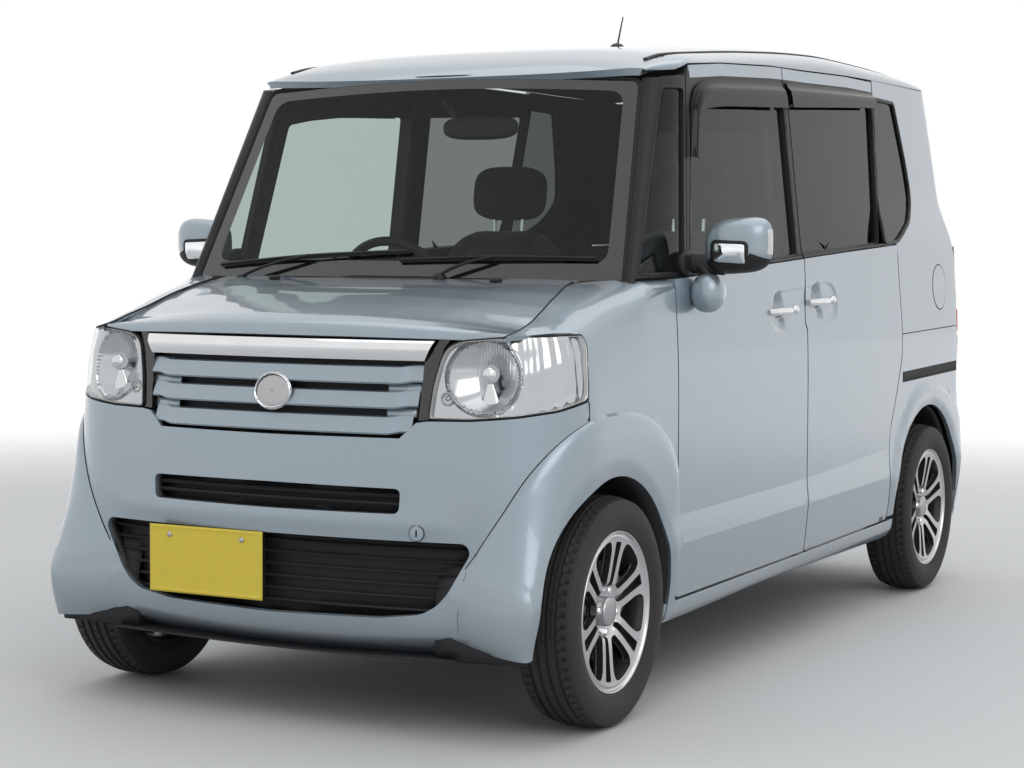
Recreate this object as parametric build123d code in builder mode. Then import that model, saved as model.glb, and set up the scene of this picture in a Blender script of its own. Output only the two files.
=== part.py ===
from build123d import *
from math import cos, radians, sin, sqrt, tan
import os

# Kei car. Millimetres; +X is the car's left, -Y its front, +Z up; z = 0 is the floor under the tyres.
os.makedirs("parts", exist_ok=True)

# ---------------------------------------------------------------- overall sizes
FRONT = -1697.5          # foremost point of the bumper
REAR = 1697.5            # rearmost point of the rear bumper
SIDE = 722.0             # half-width of the doors
FLARE = 737.0            # half-width over the arch flares
ROOF = 1780.0            # crown of the roof
AXLE_F, AXLE_R = -1274.0, 1246.0
TRACK = 652.5            # tyre centre plane from the middle
TYRE_R, TYRE_W = 278.5, 155.0
RIM_R = 178.0            # bead seat radius
GAP = 5.5                # shut line between a moving panel and its neighbour
SEAT_GAP = 0.3           # clearance between curved faces of neighbours
DOOR_T, FRAME_T = 58.0, 42.0   # thickness of a door below and beside its glass
SKIN_T = 22.0            # fenders, bumpers, roof
GLASS_LEAN = 0.1095      # the side glass moves in this much per mm of height
BELT_X, BELT_Z = 684.5, 1131.0  # a point on the plane of the side glass
WS_LEAN = 27.1           # windshield from the vertical, degrees
DOOR_HINGE = (728.0, -904.5)    # x, y of the front door's hinge line
HOOD_HINGE = (-1128.0, 1062.0)  # y, z
GATE_HINGE = (1500.0, 1748.0)   # y, z
HUB_Z = TYRE_R
# x, z of the steering axis at the lower ball and strut top
BALL_LOW, BALL_TOP = (612.0, 150.0), (505.0, 760.0)
BORE_R = 15.0            # wheel hub bore
PCD, NUT_R = 100.0, 7.0
SPOKES = 6               # twin spokes
SEAT_X = 305.0           # middle of each front seat; the driver sits on the right

# side view of the body: (y, z) from the bumper's foot over the hood and along the belt line
NOSE = [(-1600, 200), (-1688, 245), (FRONT, 300), (FRONT, 560), (-1682, 709), (-1650, 929), (-1632, 950)]
HOOD_MID, COWL = (-1400, 1030), (-1110, 1070)
BELT = [(-802, 1077), (39, 1120), (780, 1157), (1560, 1190)]
TAIL = [(1612, 1190), (1645, 1000), (1650, 655), (1688, 645), (REAR, 600), (REAR, 320), (1680, 245),
        (1620, 215)]
# half section of the body below the belt: (x, z)
SECTION = [(640, 180), (712, 215), (728, 400), (SIDE, 480), (SIDE, 600), (719, 869), (705, 1118), (700, 1300)]
# sections of the upper body: y, half-width at z = 1040, half-width and height of the cant rail, height of the crown
UPPER = [(-1250, 694, 636, 1560, 1615), (-640, 694, 630, 1618, 1674), (-60, 694, 626, 1658, 1726),
         (600, 694, 624, 1682, ROOF), (1250, 690, 620, 1684, 1772), (1700, 660, 590, 1660, 1735)]
# arches: name, axle, radius of the opening at the front, top and rear
DOOR_F = [(-916.5, 262), (-450, 268), (28.5, 272), (28.5, 1666), (-64, 1663), (-439, 1644), (-650, 1626),
          (-686, 1590), (-799, 1080), (-916.5, 1073)]
DOOR_R = [(34, 272), (795, 283), (800, 360), (790, 480), (803, 573), (868, 691), (918, 800), (924, 880),
          (905, 1100), (903, 1166), (788, 1162), (851, 1631), (851, 1680), (600, 1680), (205, 1669),
          (34, 1666)]
WIN_DF = [(-770, 1085), (23, 1121), (18, 1556), (-300, 1546), (-560, 1518), (-668, 1500)]
GLASS_A = [(-1120, 1084), (-819, 1086), (-712, 1566), (-880, 1562)]
GLASS_R = [(70, 1126), (778, 1160), (834, 1600), (600, 1592), (70, 1560)]
GLASS_Q = [(796, 1168), (929, 1172), (1101, 1239), (1178, 1315), (1150, 1430), (1074, 1628), (862, 1631)]
HOOD_EDGE = [(588, -1800), (582, -1491), (556, -1290), (532, -1132), (300, -1150), (0, -1160)]
LAMP_FRONT = [(387.8, 744), (419, 938), (900, 938), (900, 700), (387.8, 700)]
LAMP_SIDE = [(-1800, 745), (-1600, 748), (-1480, 772), (-1430, 795), (-1415, 940), (-1540, 938), (-1800, 938)]


# ---------------------------------------------------------------- helpers
def prism_x(points, x0, x1):
    """(y, z) outline carried from x0 to x1."""
    with BuildPart() as p:
        with BuildSketch(Plane.YZ.offset(x0)):
            with BuildLine():
                Polyline(*points, close=True)
            make_face()
        extrude(amount=x1 - x0)
    return p.part


def prism_y(points, y0, y1):
    """(x, z) outline carried from y0 to y1."""
    with BuildPart() as p:
        with BuildSketch(Plane.XZ.offset(-y0)):
            with BuildLine():
                Polyline(*points, close=True)
            make_face()
        extrude(amount=y0 - y1)
    return p.part


def prism_z(points, z0, z1):
    """(x, y) outline carried from z0 to z1."""
    with BuildPart() as p:
        with BuildSketch(Plane.XY.offset(z0)):
            with BuildLine():
                Polyline(*points, close=True)
            make_face()
        extrude(amount=z1 - z0)
    return p.part


def block(x0, x1, y0, y1, z0, z1, r=0.0):
    with BuildPart() as p:
        with Locations(((x0 + x1) / 2, (y0 + y1) / 2, (z0 + z1) / 2)):
            Box(x1 - x0, y1 - y0, z1 - z0)
        if r:
            fillet(p.edges(), r)
    return p.part


def tube_x(y, z, r, x0, x1, inner=0.0):
    with BuildPart() as p:
        with BuildSketch(Plane.YZ.offset(x0)):
            with Locations((y, z)):
                Circle(r)
                if inner:
                    Circle(inner, mode=Mode.SUBTRACT)
        extrude(amount=x1 - x0)
    return p.part


def rod(a, b, r):
    """Round bar from a to b."""
    a, b = Vector(*a), Vector(*b)
    with BuildPart() as p:
        with BuildSketch(Plane(origin=a, z_dir=(b - a))):
            Circle(r)
        extrude(amount=(b - a).length)
    return p.part


def both(shape):
    """The shape and its mirror image across the middle plane, as one part."""
    with BuildPart() as p:
        add(shape)
        mirror(shape, about=Plane.YZ)
    return p.part


def flip(shape):
    with BuildPart() as p:
        mirror(shape, about=Plane.YZ)
    return p.part


def joined(*shapes):
    with BuildPart() as p:
        for s in shapes:
            add(s)
    return p.part


def common(a, *others):
    with BuildPart() as p:
        add(a)
        for o in others:
            add(o, mode=Mode.INTERSECT)
    return p.part


def cut(a, *others):
    with BuildPart() as p:
        add(a)
        for o in others:
            add(o, mode=Mode.SUBTRACT)
    return p.part


def ring(points):
    """A half outline (x, z) and its mirror, as one closed outline."""
    return list(points) + [(-x, z) for x, z in reversed(points)]


# ---------------------------------------------------------------- the body's outer surfaces
def lower_hull(t):
    """Solid of the lower body, t mm inside its skin."""
    yf = FRONT + 2500 - sqrt(2500**2 - SIDE**2)
    yr = REAR - 6000 + sqrt(6000**2 - SIDE**2)
    with BuildPart() as p:
        with BuildSketch(Plane.XY.offset(150)):
            with BuildLine():
                ThreePointArc((-FLARE, yf), (0, FRONT), (FLARE, yf))
                Line((FLARE, yf), (FLARE, yr))
                ThreePointArc((FLARE, yr), (0, REAR), (-FLARE, yr))
                Line((-FLARE, yr), (-FLARE, yf))
            face = make_face()
            fillet(face.vertices().sort_by(Axis.Y)[:2], 250)
            fillet(face.vertices().sort_by(Axis.Y)[-2:], 130)
            offset(amount=-t if t else -0.01)
        extrude(amount=1200)
        with BuildSketch(Plane.YZ.offset(-800)):
            with BuildLine():
                Polyline(*NOSE)
                ThreePointArc(NOSE[-1], HOOD_MID, COWL)
                Polyline(COWL, *BELT, *TAIL, NOSE[0])
            make_face()
            offset(amount=-t if t else -0.01, kind=Kind.INTERSECTION)
        extrude(amount=1600, mode=Mode.INTERSECT)
        with BuildSketch(Plane.XZ.offset(1800)):
            with BuildLine():
                Polyline(*ring(SECTION), close=True)
            make_face()
            offset(amount=-t if t else -0.01, kind=Kind.INTERSECTION)
        extrude(amount=-3600, mode=Mode.INTERSECT)
    # the hood's shoulders fall away toward the nose: two sections, joined straight
    with BuildPart() as q:
        for y, zc, xe, ze, xm, zm, zs in ((-1720, 985, 640, 872, 704, 800, 690),
                                          (-1040, 1086, 690, 1074, 712, 1062, 1034)):
            with BuildSketch(Plane.XZ.offset(-y)):
                with BuildLine():
                    ThreePointArc((-xe + t, ze - t), (0, zc - t), (xe - t, ze - t))
                    ThreePointArc((xe - t, ze - t), (xm - t, zm - t), (FLARE + 2 - t, zs - t))
                    Polyline((FLARE + 2 - t, zs - t), (FLARE + 2 - t, 100), (-FLARE - 2 + t, 100),
                             (-FLARE - 2 + t, zs - t))
                    ThreePointArc((-FLARE - 2 + t, zs - t), (-xm + t, zm - t), (-xe + t, ze - t))
                make_face()
        loft(ruled=True)
    front = common(p.part, q.part)
    return joined(front, common(p.part, block(-900, 900, -1040.0, 1800, 0, 1400)))


def upper_hull(t, trimmed=True):
    """Solid of the cabin above the belt, t mm inside its skin and 2t further down, so that a shell is open below."""
    low = 1040 - 2 * t
    with BuildPart() as p:
        for y, xb, xs, zs, zc in UPPER:
            xl = xb + (xb - xs) / (zs - 1040) * 2 * t - t
            with BuildSketch(Plane.XZ.offset(-y)):
                with BuildLine():
                    Line((-xl, low), (xl, low))
                    Line((xl, low), (xs - t, zs - t / 2))
                    ThreePointArc((xs - t, zs - t / 2), (xs - 26 - t, zs + 42 - t),
                                  (xs - 90 - t, zs + 62 - t))
                    ThreePointArc((xs - 90 - t, zs + 62 - t), (0, max(zc, zs + 70) - t),
                                  (-xs + 90 + t, zs + 62 - t))
                    ThreePointArc((-xs + 90 + t, zs + 62 - t), (-xs + 26 + t, zs + 42 - t),
                                  (-xs + t, zs - t / 2))
                    Line((-xs + t, zs - t / 2), (-xl, low))
                make_face()
        loft(ruled=True)
        if trimmed:  # windshield, roof line and tail in side view
            with BuildSketch(Plane.YZ.offset(-800)):
                with BuildLine():
                    Polyline((-1136, low - t), (-1136, 1060), (-862, 1595), (-800, 1640))
                    ThreePointArc((-800, 1640), (-660, 1680), (-400, 1706))
                    ThreePointArc((-400, 1706), (500, 1778), (1420, 1752))
                    Polyline((1420, 1752), (1508, 1732), (1540, 1560), (1600, 1300), (1612, 1190),
                             (1612, low - t), (-1136, low - t))
                make_face()
                offset(amount=-t if t else -0.01, kind=Kind.INTERSECTION)
            extrude(amount=1600, mode=Mode.INTERSECT)
    return p.part


def cabin_core(t, y0, y1, z0, z1):
    """Room inside the lower body's sides, t mm inside the skin, cut off square at its ends."""
    with BuildPart() as p:
        with BuildSketch(Plane.XZ.offset(-y0)):
            with BuildLine():
                Polyline(*ring(SECTION), close=True)
            make_face()
            offset(amount=-t, kind=Kind.INTERSECTION)
        extrude(amount=y0 - y1)
        add(block(-900, 900, y0, y1, z0, z1), mode=Mode.INTERSECT)
    return p.part


def windshield_cut(t):
    """Everything ahead of the windshield's curved face, moved t mm into the car."""
    s, c = sin(radians(WS_LEAN)), cos(radians(WS_LEAN))
    plane = Plane(origin=(0, -1125 + t / c, 1069), x_dir=(1, 0, 0), z_dir=(0, s, c))
    with BuildPart() as p:
        with BuildSketch(plane.offset(-200)):
            with BuildLine():
                ThreePointArc((-800, 71), (0, 0), (800, 71))
                Polyline((800, 71), (800, -500), (-800, -500), (-800, 71))
            make_face()
        extrude(amount=1100)
    return p.part


def grown(points, amount, x0, x1):
    """prism_x of an outline moved outward by amount."""
    with BuildPart() as p:
        with BuildSketch(Plane.YZ.offset(x0)):
            with BuildLine():
                Polyline(*points, close=True)
            make_face()
            offset(amount=amount, kind=Kind.INTERSECTION)
        extrude(amount=x1 - x0)
    return p.part


PARTS = {}


def keep(name, shape):
    shape.label = name
    PARTS[name] = shape


FAR, INNER = 900.0, 585.0
L0, LS = lower_hull(0), lower_hull(SKIN_T)
U0, UF, UR = upper_hull(0), upper_hull(FRAME_T), upper_hull(30)
WS0 = windshield_cut(0)
CORE = cabin_core(DOOR_T, -1040, 1560, 150, 1240)
LOW_SIDE = cut(L0, CORE)                  # lower body's side walls
UP_SIDE = cut(U0, UF, WS0)                # upper body's side walls
SIDES = joined(LOW_SIDE, UP_SIDE)
arch_f = tube_x(AXLE_F - 26, 272, 335, 420, FAR)
arch_r = tube_x(AXLE_R - 46, 276, 352, 556, FAR)
ARCHES = both(joined(arch_f, arch_r))
LEFT = block(300, FAR, -1800, 1800, 0, 1900)

# ---------------------------------------------------------------- doors and their glass
door_f = cut(common(SIDES, prism_x(DOOR_F, 300, FAR)), prism_x(WIN_DF, 300, FAR),
             prism_z([(760, 28.5), (760, 34), (520, 34), (520, 8)], 200, 1700))
door_f = joined(door_f, *(block(652, 690, -924.7, -900, z, z + 60) for z in (400, 820)))   # hinge leaves
win_r_open = prism_x(GLASS_R, 300, FAR)
door_r = cut(common(SIDES, prism_x(DOOR_R, 300, FAR)), win_r_open, ARCHES)
keep("door_front_left", door_f)
keep("door_front_right", flip(door_f))
keep("rear_doors", both(joined(door_r, block(676, 700, 100, 160, 268.6, 300))))

PANE = cut(upper_hull(9), upper_hull(13))
glass_f = common(PANE, grown(WIN_DF, -SEAT_GAP, INNER, FAR))
keep("door_glass_left", glass_f)
keep("door_glass_right", flip(glass_f))
keep("side_glass", both(joined(*(common(PANE, grown(g, -SEAT_GAP, INNER, FAR)) for g in (GLASS_A, GLASS_R,
                                                                                         GLASS_Q)))))

# ---------------------------------------------------------------- fixed body
WS_FRONT = [(638, 1062), (566, 1582)]     # windshield's edge seen from the front: x, z
ws_hole = prism_y(ring([(638.3, 1000), (638.3, 1062), (566.3, 1586)]), -1400, -700)
ROOF_EDGE = [(-1000, 1584), (-698, 1597), (-655, 1632), (-439, 1650), (-64, 1669), (205, 1675), (600, 1686),
             (851, 1686), (1470, 1690), (1470, 1700), (1486.5, 1700), (1486.5, 1900), (-1000, 1900)]
roof = cut(common(cut(U0, UR, WS0), prism_x(ROOF_EDGE, -FAR, FAR)), ws_hole)
keep("roof_panel", roof)

door_holes = joined(grown(DOOR_F, GAP, 300, FAR), grown(DOOR_R, 4.0, 300, FAR))
ROCKER = [(-1004, 200), (-990, 256), (-922, 256), (34, 266.5), (800, 277.5), (820, 300), (864, 300),
          (852, 232)]
rocker = common(cut(L0, arch_f, arch_r), prism_x(ROCKER, 600, FAR))
JACK = (650.0, (-800.0, 700.0), 196.0)    # x, y of the two pads on a side, z of their undersides
rocker = joined(rocker, *(block(JACK[0] - 25, JACK[0] + 25, y - 45, y + 45, JACK[2], 230) for y in JACK[1]))
quarter = cut(common(SIDES, prism_x([(780, 290), (780, 1181), (790, 1685.7), (851, 1685.7), (1469, 1689.7),
                                     (1469, 1560), (1800, 1240),
                                     (1800, 656), (1480, 656), (1480, 300)], 300, FAR)),
              door_holes, arch_r, prism_x(GLASS_Q, 300, FAR), prism_x(GLASS_R, 300, FAR))
gate_hole = prism_y(ring([(566, 640), (566, 1190), (534, 1690), (534, 1800)]), 1463, 1800)
quarter = cut(quarter, gate_hole)
pillar_a = cut(common(UP_SIDE, prism_x([(-1300, 1070.3), (-1110, 1070.3), (-802, 1077.3), (-690, 1079.3),
                                        (-680, 1600), (-698, 1596.7), (-1000, 1583.7)], 540, FAR)),
               door_holes, ws_hole, prism_x(GLASS_A, 300, FAR))
hinge_pillar = common(block(600, 694, -964, -925, 240, 1085), lower_hull(SKIN_T + SEAT_GAP))
pillar_b = cut(common(prism_x([(-20, 262), (90, 262), (80, 1760), (-10, 1760)], 540, FAR),
                      joined(cabin_core(DOOR_T + 6, -60, 120, 250, 1110),
                             common(upper_hull(FRAME_T + 6), block(-FAR, FAR, -60, 120, 1104, 1800)))),
               joined(cabin_core(DOOR_T + 50, -80, 140, 100, 1200),
                      common(upper_hull(FRAME_T + 40), block(-FAR, FAR, -80, 140, 1090, 1800))),
               block(500, 600, -80, 140, 200, 440))
keep("side_frames", both(joined(rocker, quarter, pillar_a, hinge_pillar, pillar_b)))

# floor, firewall, rails
FLOOR_Z, REAR_FLOOR_Z = 300.0, 365.0      # tops of the two floors
floor = joined(block(-599.7, 599.7, -944.7, 830, FLOOR_Z - 38, FLOOR_Z),
               block(-599.7, 599.7, 800, 830, FLOOR_Z, REAR_FLOOR_Z),
               block(-599.7, 599.7, 800, 1580, REAR_FLOOR_Z - 30, REAR_FLOOR_Z),
               block(-599.7, 599.7, 1560, 1580, REAR_FLOOR_Z, 655),
               both(joined(block(530, 599.7, 830, 1560, REAR_FLOOR_Z, 660))))
keep("floor_pan", cut(floor, ARCHES, block(-360, 360, -420, 180, 200, 270)))
firewall = block(-599.7, 599.7, -957, -945, 262, 1010)
cowl = block(-528, 528, -1146, -945, 1010, 1030)
rails = both(joined(block(330, 391, -1520, -957, 330, 420), block(391, 399, -1520, -957, 330, 860),
                    block(399, 640, -1352, -1196, 760, 780), block(399, 560, -1080, -957, 990, 1010)))
support = cut(common(block(-560, 560, -1545, -1520, 300, 900), lower_hull(96)),
              block(-385, 385, -1620, -1500, 345, 860),
              both(block(415, 600, -1620, -1500, 290, 640)))        # room for the steered tyre
keep("front_body", joined(firewall, cowl, rails, support))

# ---------------------------------------------------------------- hood, fenders, bumpers
NOSE_SHELL = cut(L0, LS)
hood_edge = HOOD_EDGE + [(-x, y) for x, y in reversed(HOOD_EDGE[:-1])]
with BuildPart() as hood_zone:
    with BuildSketch(Plane.XY.offset(800)):
        with BuildLine():
            Polyline(*hood_edge, close=True)
        make_face()
        offset(amount=-GAP / 2, kind=Kind.INTERSECTION)
    extrude(amount=400)
with BuildPart() as hood_room:
    with BuildSketch(Plane.XY.offset(700)):
        with BuildLine():
            Polyline(*hood_edge, close=True)
        make_face()
        offset(amount=GAP / 2, kind=Kind.INTERSECTION)
    extrude(amount=500)
hood = common(NOSE_SHELL, hood_zone.part, block(-FAR, FAR, -1800, -1000, 944, 1200))
leaf = both(common(block(430, 470, -1152, -1132, 1030.3, 1060), lower_hull(SKIN_T - 1)))
keep("hood", joined(hood, leaf))

lamp_zone = common(grown(LAMP_SIDE, -SEAT_GAP, 380, FAR), prism_y(LAMP_FRONT, -1800, -1000))
lamp_hole = prism_x(LAMP_SIDE, 385, FAR)
fender = cut(common(NOSE_SHELL, prism_x([(-922, 262), (-922, 1069), (-1075, 1090), (-1640, 1090),
                                         (-1640, 938), (-1410, 938),
                                         (-1425, 795), (-1480, 772), (-1480, 262)], 534, FAR)),
             hood_room.part, block(-642, 642, -1100, -900, 900, 1200), lamp_hole, arch_f,
             grown(DOOR_F, GAP, 300, FAR))
flare_f = cut(prism_x([(-1480, 560), (-1480, 748), (-1448, 755), (-1313, 761), (-1207, 743), (-1097, 694),
                       (-1021, 643),
                       (-961, 585), (-944, 537), (-930, 400), (-926, 262), (-1480, 262)], 715, 736), arch_f)
keep("front_fenders", both(joined(fender, common(flare_f,
                                                 prism_y([(640, 200), (736, 200), (736, 560), (718, 770),
                                                          (640, 770)],
                                                                  -1800, 0)))))
TOP_F = [(-1800, 190), (-1480.3, 190), (-1480.3, 772), (-1600, 748), (-1800, 745)]
bumper_f = cut(common(NOSE_SHELL, prism_x(TOP_F, -FAR, FAR)), ARCHES,
               prism_y(ring([(392, 747), (378, 753), (340, 729), (336, 716)]), -1800, -1500),
               prism_y(ring([(350, 532), (350, 592)]), -1800, -1500),
               prism_y(ring([(480, 330), (540, 380), (522, 463), (498, 478)]), -1800, -1500),
               block(-340, 340, -1800, -1500, 716, 760))
tow = (-330, -1600, 497)
with BuildPart() as tow_hole:
    with BuildSketch(Plane.XZ.offset(1500)):
        with Locations((330, 497)):
            Circle(26)
    extrude(amount=300)
keep("front_bumper", cut(bumper_f, tow_hole.part))
grille_shell = cut(lower_hull(SKIN_T + SEAT_GAP), lower_hull(70))
grille = common(grille_shell, joined(*(prism_y(ring([(w, z), (w + 4, z + 42)]), -1800, -1500)
                                       for z, w in ((716.3, 336), (774, 372), (830, 382)))))
grille = joined(grille, common(cut(lower_hull(50), lower_hull(74)),
                               prism_y(ring([(338, 722), (378, 760), (384, 884)]), -1800, -1500)))
keep("front_grille", grille)
keep("grille_bar", common(cut(lower_hull(4), lower_hull(60)),
                          prism_y(ring([(391, 884.3), (413, 930)]), -1800, -1580)))
intake = common(cut(lower_hull(SKIN_T + SEAT_GAP), lower_hull(60)),
                joined(*(prism_y(ring([(w, z), (w, z + h)]), -1800, -1480) for z, h, w in
                         ((520, 18, 380), (553, 18, 380), (586, 18, 380), (318, 20, 540), (362, 20, 540),
                          (406, 20, 540),
                          (450, 34, 540)))))
backs = joined(block(-380, 380, -1612, -1606, 520, 604), block(-520, 520, -1612, -1606, 318, 484))
keep("lower_grille", joined(intake, common(backs, lower_hull(60))))

lens = common(cut(lower_hull(3), lower_hull(9)), lamp_zone)
shell = cut(common(cut(lower_hull(9 + SEAT_GAP), lower_hull(95)), lamp_zone),
            common(cut(lower_hull(9), lower_hull(82)), grown(LAMP_SIDE, -12, 432, FAR)))
keep("headlamp_lenses", both(lens))
keep("headlamp_housings", both(shell))

REAR_LOW = [(1497, 240), (1504, 330), (1492, 420), (1480, 520), (1480, 650), (1800, 650), (1800, 190)]
keep("rear_bumper", cut(common(cut(L0, LS), prism_x(REAR_LOW, -FAR, FAR)), ARCHES))

# ---------------------------------------------------------------- tailgate, windshield, lamps
gate_zone = common(prism_y(ring([(560, 656.5), (560, 1190), (528, 1684), (528, 1800)]), 1469, 1800),
                   prism_x([(1469, 656), (1469, 1690), (1492, 1696), (1492, 1800), (1800, 1800),
                            (1800, 656)], -FAR, FAR))
gate_win = prism_y(ring([(500, 1185), (470, 1600)]), 1400, 1800)
gate = cut(common(joined(cut(L0, CORE, block(-FAR, FAR, -1800, 1565.5, 0, 1500)), cut(U0, UF)), gate_zone),
           gate_win)
keep("tailgate", joined(gate, both(block(400, 440, 1486.8, 1500, 1702, 1716))))
keep("tailgate_glass", common(PANE, prism_y(ring([(499.7, 1185.3), (469.7, 1599.7)]), 1400, 1800)))
ws = common(cut(windshield_cut(7), windshield_cut(1)), prism_y(ring([(638, 1062.3), (566, 1585.7)]), -1400,
                                                               -700))
keep("windshield", ws)
lamp_r_zone = block(566.3, FAR, 1530, 1800, 760, 1160)
keep("tail_lamps", both(common(cut(L0, lower_hull(45)), lamp_r_zone)))
PARTS["side_frames"] = cut(PARTS["side_frames"], both(block(566, FAR, 1529.7, 1800, 759.7, 1160.3)))
PARTS["side_frames"].label = "side_frames"

# ---------------------------------------------------------------- wheels
def turned(points):
    """Solid of revolution about the X axis from an (offset, radius) outline."""
    with BuildPart() as p:
        with BuildSketch(Plane.XY):
            with BuildLine():
                Polyline(*points, close=True)
            make_face()
        revolve(axis=Axis.X)
    return p.part


TYRE = [(-54, 181), (-62, 194), (-77.5, 238), (-58, TYRE_R), (58, TYRE_R), (77.5, 238), (62, 194), (54, 181)]
RIM = [(-66, 171), (-66, 193), (-62.6, 193), (-54.8, 180.6), (54.8, 180.6), (62.6, 193), (66, 193), (66, 171),
       (52, 169), (-52, 169)]
tyre = turned(TYRE)
with BuildPart() as rim_part:
    add(turned(RIM))
    with BuildSketch(Plane.YZ.offset(24)):
        Circle(66)
        with PolarLocations(0, SPOKES):
            for side in (-1, 1):
                with BuildLine():
                    Polyline((40, side * 4), (40, side * 24), (175, side * 37), (175, side * 16), close=True)
                make_face()
    extrude(amount=24)
    with BuildSketch(Plane.YZ.offset(-30)):
        Circle(42)
    extrude(amount=56)
    with BuildSketch(Plane.YZ.offset(-40)):
        Circle(BORE_R)
    extrude(amount=80, mode=Mode.SUBTRACT)
    with BuildSketch(Plane.YZ.offset(40)):
        with PolarLocations(PCD / 2, 4, 45):
            Circle(NUT_R)
    extrude(amount=20, mode=Mode.SUBTRACT)
rim = rim_part.part
for name, x, y, turn in (("front_left", TRACK, AXLE_F, 0), ("front_right", -TRACK, AXLE_F, 180),
                         ("rear_left", TRACK, AXLE_R, 0), ("rear_right", -TRACK, AXLE_R, 180)):
    place = Location((x, y, HUB_Z), (0, 0, turn))
    keep("tyre_" + name, tyre.moved(place))
    keep("wheel_" + name, rim.moved(place))

# ---------------------------------------------------------------- running gear
spindle = tube_x(AXLE_F, HUB_Z, BORE_R - SEAT_GAP, 600, TRACK + 36)
def on_steer_axis(z):
    """Point of the steering axis at height z."""
    (x0, z0), (x1, z1) = BALL_LOW, BALL_TOP
    return (x0 + (x1 - x0) * (z - z0) / (z1 - z0), AXLE_F, z)


knuckle = joined(spindle, tube_x(AXLE_F, HUB_Z, 40, 596, 612),
                 rod(on_steer_axis(149.6), on_steer_axis(HUB_Z), 12),       # ball stud, on the axis
                 rod(on_steer_axis(700), on_steer_axis(757.4), 12),         # top bearing, on the axis
                 rod((600, AXLE_F, HUB_Z + 10), (535, AXLE_F, 425), 12),
                 rod((537, AXLE_F, 400), (512, AXLE_F, 700), 20),
                 rod((519, AXLE_F, 600), (510.5, AXLE_F, 728), 52))
keep("knuckle_left", knuckle)
keep("knuckle_right", flip(knuckle))
arm = prism_z([(300, AXLE_F + 150), (330, AXLE_F + 150), (615, AXLE_F + 16), (622, AXLE_F),
               (615, AXLE_F - 16),
               (330, AXLE_F - 60), (300, AXLE_F - 60)], 130, 147)
crossbar = block(-299.9, 299.9, AXLE_F - 60, AXLE_F + 150, 130, 180)
posts = both(joined(block(330, 390, AXLE_F + 60, AXLE_F + 150, 147, 330),
                    block(240, 330, AXLE_F + 60, AXLE_F + 150, 147, 180)))
shafts = both(joined(tube_x(AXLE_F, HUB_Z, 13, 230.3, 560), tube_x(AXLE_F, HUB_Z, 30, 535, 568)))
rack = tube_x(AXLE_F + 120, 215, 22, -300, 300)
keep("front_suspension", joined(both(arm), crossbar, posts,
                                both(block(200, 240, AXLE_F + 90, AXLE_F + 150, 180, 239.7)), rack))
keep("drive_shafts", shafts)
trailing = joined(rod((470, 850, 285), (490, AXLE_R, HUB_Z), 24),
                  tube_x(AXLE_R, HUB_Z, BORE_R - SEAT_GAP, 560, TRACK + 36),
                  tube_x(AXLE_R, HUB_Z, 40, 480, 606), block(450, 490, 840, 880, 275, 334.7))
beam = prism_x([(980, 245), (1040, 245), (1040, 290), (1030, 290), (1030, 256), (990, 256), (990, 290),
                (980, 290)], -476, 476)
keep("rear_axle", joined(both(trailing), beam))
keep("engine", block(-230, 230, -1490, -1060, 240, 800, 20))
keep("fuel_tank", block(-340, 340, -400, 160, 175, 269.7, 12))
pipe = joined(rod((180, -1040, 262), (390, -880, 215), 20), rod((390, -895, 215), (390, 1340, 215), 20),
              block(100, 440, 1330, 1490, 185, 255, 16), block(250, 280, 1400, 1430, 240, 334.7),
              block(380, 400, 300, 330, 225, 261.7))
keep("exhaust", pipe)

# ---------------------------------------------------------------- cabin
dash = prism_x([(-944.7, 640), (-944.7, 1030.3), (-1072, 1030.3), (-1072, 1046), (-900, 1066), (-735, 1052),
                (-690, 985),
                (-712, 900), (-745, 720), (-800, 640)], -588, 588)
keep("dashboard", dash)
tilt = radians(24)
axis = (0, cos(tilt), sin(tilt))
hub = (-SEAT_X, -560, 1005)
with BuildPart() as steer:
    with BuildSketch(Plane(origin=hub, x_dir=(1, 0, 0), z_dir=axis)):
        Circle(187)
        Circle(160, mode=Mode.SUBTRACT)
        Rectangle(330, 34)
        with Locations((0, -84)):
            Rectangle(34, 160)
        Circle(62)
    extrude(amount=12, both=True)
column = cut(rod(hub, (hub[0], hub[1] - 190 * cos(tilt), hub[2] - 190 * sin(tilt)), 26),
             grown([(-944.7, 640), (-944.7, 1066),
             (-900, 1066), (-735, 1052), (-690, 985), (-712, 900), (-745, 720), (-800, 640)], SEAT_GAP, -600,
             600))
keep("steering_wheel", joined(steer.part, column))


def seat(x, w, y, z, deep, tall, head, base):
    """Cushion, back and headrest as one solid; y, z is the front of the cushion's top."""
    back = [(y + deep - 60, z - 30), (y + deep + 10, z - 60), (y + deep + 70, z - 40),
            (y + deep + 70 + tall * 0.22, z + tall),
            (y + deep - 20 + tall * 0.22, z + tall)]
    rest = [(back[3][0] - 70, z + tall - 5), (back[3][0] - 20, z + tall - 5),
            (back[3][0] + 10, z + tall + head),
            (back[3][0] - 62, z + tall + head)]
    return joined(block(x - w / 2, x + w / 2, y, y + deep + 20, base, z), prism_x(back, x - w / 2, x + w / 2),
                  prism_x(rest, x - 125, x + 125))


keep("front_seats", both(seat(SEAT_X, 500, -470, 600, 500, 590, 190, 300.3)))
keep("rear_seat", joined(*(seat(sx, 520, 560, 570, 440, 520, 150, REAR_FLOOR_Z + SEAT_GAP) for sx in (-262,
                                                                                                      262))))
keep("inner_mirror", joined(block(-60, 180, -800, -775, 1440, 1500, 8),
                            cut(rod((60, -790, 1485), (60, -905, 1548), 7), windshield_cut(7.5))))

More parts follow.
